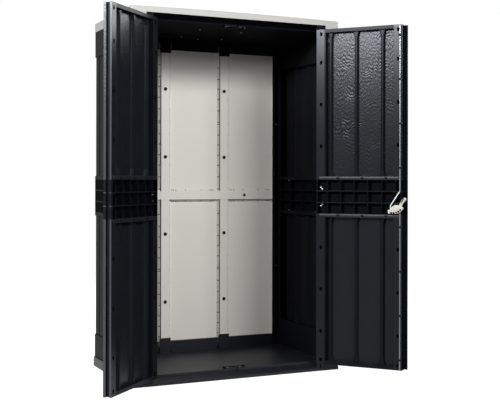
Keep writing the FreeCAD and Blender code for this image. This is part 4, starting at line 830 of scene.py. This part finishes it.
class CABINET_OT_screw_heads(bpy.types.Operator):
    """Domed cross-recessed heads on the screws that show"""

    bl_idname = "cabinet.screw_heads"
    bl_label = "Screw heads"

    def execute(self, context):
        dome = [(0, 0, -0.3), (4.6, 4.6, -0.3), (4.5, 4.5, 0.2), (3.6, 3.6, 0.9), (2.4, 2.4, 1.2),
                (1.9, 1.9, 1.15), (1.5, 1.5, 0.3), (0, 0, 0.3)]
        belt_floor = 27.5
        hinge_screws = ((15.0, 48.0), (22.5, 39.0))
        zinc = material_named("zinc_plated_screws")
        for side in ("right", "left"):
            u_axis, w_axis, _ = door_axes(side)
            places = [on_door(side, u, belt_floor, MID_Z + s * rise) for u, rise in hinge_screws
                      for s in (-1, 1)]
            heads = studs(places, u_axis, UP, -w_axis, dome, cross=0.35, columns=24)
            surface(side + "_screw_heads", heads, side + "_door", zinc)
        return {"FINISHED"}


class CABINET_OT_tray_marks(bpy.types.Operator):
    """Dimples in the floor and the ceiling, and strips beside the tabs of the trays' rear walls"""

    bl_idname = "cabinet.tray_marks"
    bl_label = "Floor and ceiling marks"

    def execute(self, context):
        r = context.scene.cabinet_sizes.dimple_radius / MM
        black = material_named("moulded_black_plastic")
        dimple = [(0, 0, -0.4), (r, r, -0.4), (r * 0.9, r * 0.9, 0.3), (r * 0.5, r * 0.5, -0.1), (0, 0, -0.1)]
        floor_spots = [(-135, 167), (-138, 21), (-253, -40), (-250, -161), (-133, -95), (-20, -36)]
        ceiling_spots = [(-104, 198), (6, 248), (-105, -78), (126, 187), (133, -65)]
        marks = studs([(x, y, FLOOR_Z) for x, y in floor_spots], (1, 0, 0), (0, 1, 0), UP, dimple)
        marks += studs([(x, y, CEILING_Z) for x, y in ceiling_spots], (1, 0, 0), (0, 1, 0), (0, 0, -1),
                       dimple)
        surface("tray_dimples", marks, "cabinet", black)

        # Each strip runs from the tray's plate to the edge of its rear wall
        strips = []
        edges = ((FLOOR_Z, TRAY_WALL_TOP), (CEILING_Z, BODY_HEIGHT - TRAY_WALL_TOP))
        offsets_and_halves, half_depth, corner = ((-35.0, 4.0), (33.5, 2.5)), 1.4, 8.0
        for stile in BACK_STILES:
            for offset, half in offsets_and_halves:
                x = stile + offset
                for plate, rim in edges:
                    strips.append(strip((x, TRAY_WALL_Y, plate), (x, TRAY_WALL_Y, rim), (1, 0, 0), (0, 1, 0),
                                        half, half_depth, corner))
        surface("tray_tab_strips", strips, "cabinet", material_named("moulded_resin_base"))
        return {"FINISHED"}


class CABINET_OT_studio(bpy.types.Operator):
    """White floor, soft key and side lights, and a camera at the photograph's viewing angle"""

    bl_idname = "cabinet.studio"
    bl_label = "Studio"

    def execute(self, context):
        scene = context.scene
        self.floor()
        for lamp in LAMPS:
            self.lamp(*lamp)
        self.world(scene)
        self.camera(scene)
        scene.view_settings.view_transform = "Standard"
        return {"FINISHED"}

    def world(self, scene):
        """White where it is seen or mirrored, and nearly dark where it lights the object."""
        world = scene.world or bpy.data.worlds.new("studio_world")
        scene.world = world
        world.use_nodes = True
        tree = world.node_tree
        tree.nodes.clear()
        strength = add(tree, "ShaderNodeMapRange", {}, {"To Min": WORLD_LIGHT, "To Max": 1.0},
                       {"Value": self.seen(tree)})
        sky = add(tree, "ShaderNodeBackground", {}, {"Color": (1, 1, 1, 1)}, {"Strength": strength})
        add(tree, "ShaderNodeOutputWorld", {}, {}, {"Surface": sky})

    def camera(self, scene):
        data = bpy.data.cameras.new("photo_camera")
        data.sensor_width = CAMERA_SENSOR
        data.lens = CAMERA_LENS
        data.shift_x, data.shift_y = CAMERA_SHIFT
        data.clip_end = 100
        camera = bpy.data.objects.new("photo_camera", data)
        yaw = Matrix.Rotation(radians(CAMERA_YAW), 4, "Z")
        level = Matrix.Rotation(pi / 2, 4, "X")
        roll = Matrix.Rotation(CAMERA_ROLL, 4, "Z")
        camera.matrix_world = Matrix.Translation(CAMERA_PLACE) @ yaw @ level @ roll
        scene.collection.objects.link(camera)
        scene.camera = camera

    def seen(self, tree):
        """1 for rays from the camera, a shiny surface or glass, 0 for light that falls on the object."""
        path = add(tree, "ShaderNodeLightPath", {}, {}, {})
        shiny = add(tree, "ShaderNodeMath", {"operation": "MAXIMUM"}, {},
                    {0: path.outputs["Is Glossy Ray"], 1: path.outputs["Is Transmission Ray"]})
        return add(tree, "ShaderNodeMath", {"operation": "MAXIMUM"}, {},
                   {0: path.outputs["Is Camera Ray"], 1: shiny})

    def floor(self):
        """A white floor that glows where it is seen, and takes the object's shadow by its diffuse part."""
        mesh = bpy.data.meshes.new("studio_floor")
        far = FLOOR_REACH
        mesh.from_pydata([(-far, -far, 0), (far, -far, 0), (far, far, 0), (-far, far, 0)], [], [(0, 1, 2, 3)])
        floor = bpy.data.objects.new("studio_floor", mesh)
        bpy.context.scene.collection.objects.link(floor)
        material = bpy.data.materials.new("white_studio_floor")
        material.use_nodes = True
        tree = material.node_tree
        tree.nodes.clear()
        where = add(tree, "ShaderNodeTexCoord", {}, {}, {}).outputs["Object"]
        distance = add(tree, "ShaderNodeVectorMath", {"operation": "LENGTH"}, {}, {0: where})
        white = add(tree, "ShaderNodeMapRange", {},
                    {"From Min": FLOOR_WHITE_FROM, "From Max": FLOOR_WHITE_TO, "To Min": FLOOR_WHITE_NEAR},
                    {0: distance.outputs["Value"]})
        strength = add(tree, "ShaderNodeMath", {"operation": "MULTIPLY"}, {}, {0: white, 1: self.seen(tree)})
        glow = add(tree, "ShaderNodeEmission", {}, {"Color": (1, 1, 1, 1)}, {"Strength": strength})
        grey = (FLOOR_GREY, FLOOR_GREY, FLOOR_GREY, 1)
        matt = add(tree, "ShaderNodeBsdfDiffuse", {}, {"Color": grey}, {})
        both = add(tree, "ShaderNodeAddShader", {}, {}, {0: glow, 1: matt})
        add(tree, "ShaderNodeOutputMaterial", {}, {}, {"Surface": both})
        mesh.materials.append(material)

    def lamp(self, name, place, target, width, height, power):
        data = bpy.data.lights.new(name, "AREA")
        data.shape = "RECTANGLE"
        data.size = width
        data.size_y = height
        data.energy = power
        lamp = bpy.data.objects.new(name, data)
        lamp.matrix_world = Matrix.Translation(place) @ (
            (Vector(target) - Vector(place)).to_track_quat("-Z", "Y").to_matrix().to_4x4())
        bpy.context.scene.collection.objects.link(lamp)


class CABINET_PT_panel(bpy.types.Panel):
    """Lists the settings and the pieces"""

    bl_idname = "CABINET_PT_panel"
    bl_label = "Garden Cabinet"
    bl_space_type = "VIEW_3D"
    bl_region_type = "UI"
    bl_category = "Cabinet"

    def draw(self, context):
        layout = self.layout
        for group in (context.scene.cabinet_sizes, context.scene.cabinet_colours):
            for name in group.__annotations__:
                layout.prop(group, name)
        for operator in OPERATORS:
            layout.operator(operator.bl_idname)


OPERATORS = (CABINET_OT_finishes, CABINET_OT_lock_lever, CABINET_OT_belt_trims, CABINET_OT_hole_shades,
             CABINET_OT_screw_heads, CABINET_OT_wall_marks, CABINET_OT_tray_marks, CABINET_OT_studio)
CLASSES = (CabinetSizes, CabinetColours, *OPERATORS, CABINET_PT_panel)


def register():
    for cls in CLASSES:
        bpy.utils.register_class(cls)
    bpy.types.Scene.cabinet_sizes = bpy.props.PointerProperty(type=CabinetSizes)
    bpy.types.Scene.cabinet_colours = bpy.props.PointerProperty(type=CabinetColours)


def unregister():
    del bpy.types.Scene.cabinet_colours
    del bpy.types.Scene.cabinet_sizes
    for cls in reversed(CLASSES):
        bpy.utils.unregister_class(cls)


def main():
    register()
    bpy.ops.cabinet.finishes()
    bpy.ops.cabinet.lock_lever()
    bpy.ops.cabinet.belt_trims()
    bpy.ops.cabinet.hole_liners()
    bpy.ops.cabinet.screw_heads()
    bpy.ops.cabinet.wall_marks()
    bpy.ops.cabinet.tray_marks()
    bpy.ops.cabinet.studio()


if __name__ == "__main__":
    main()
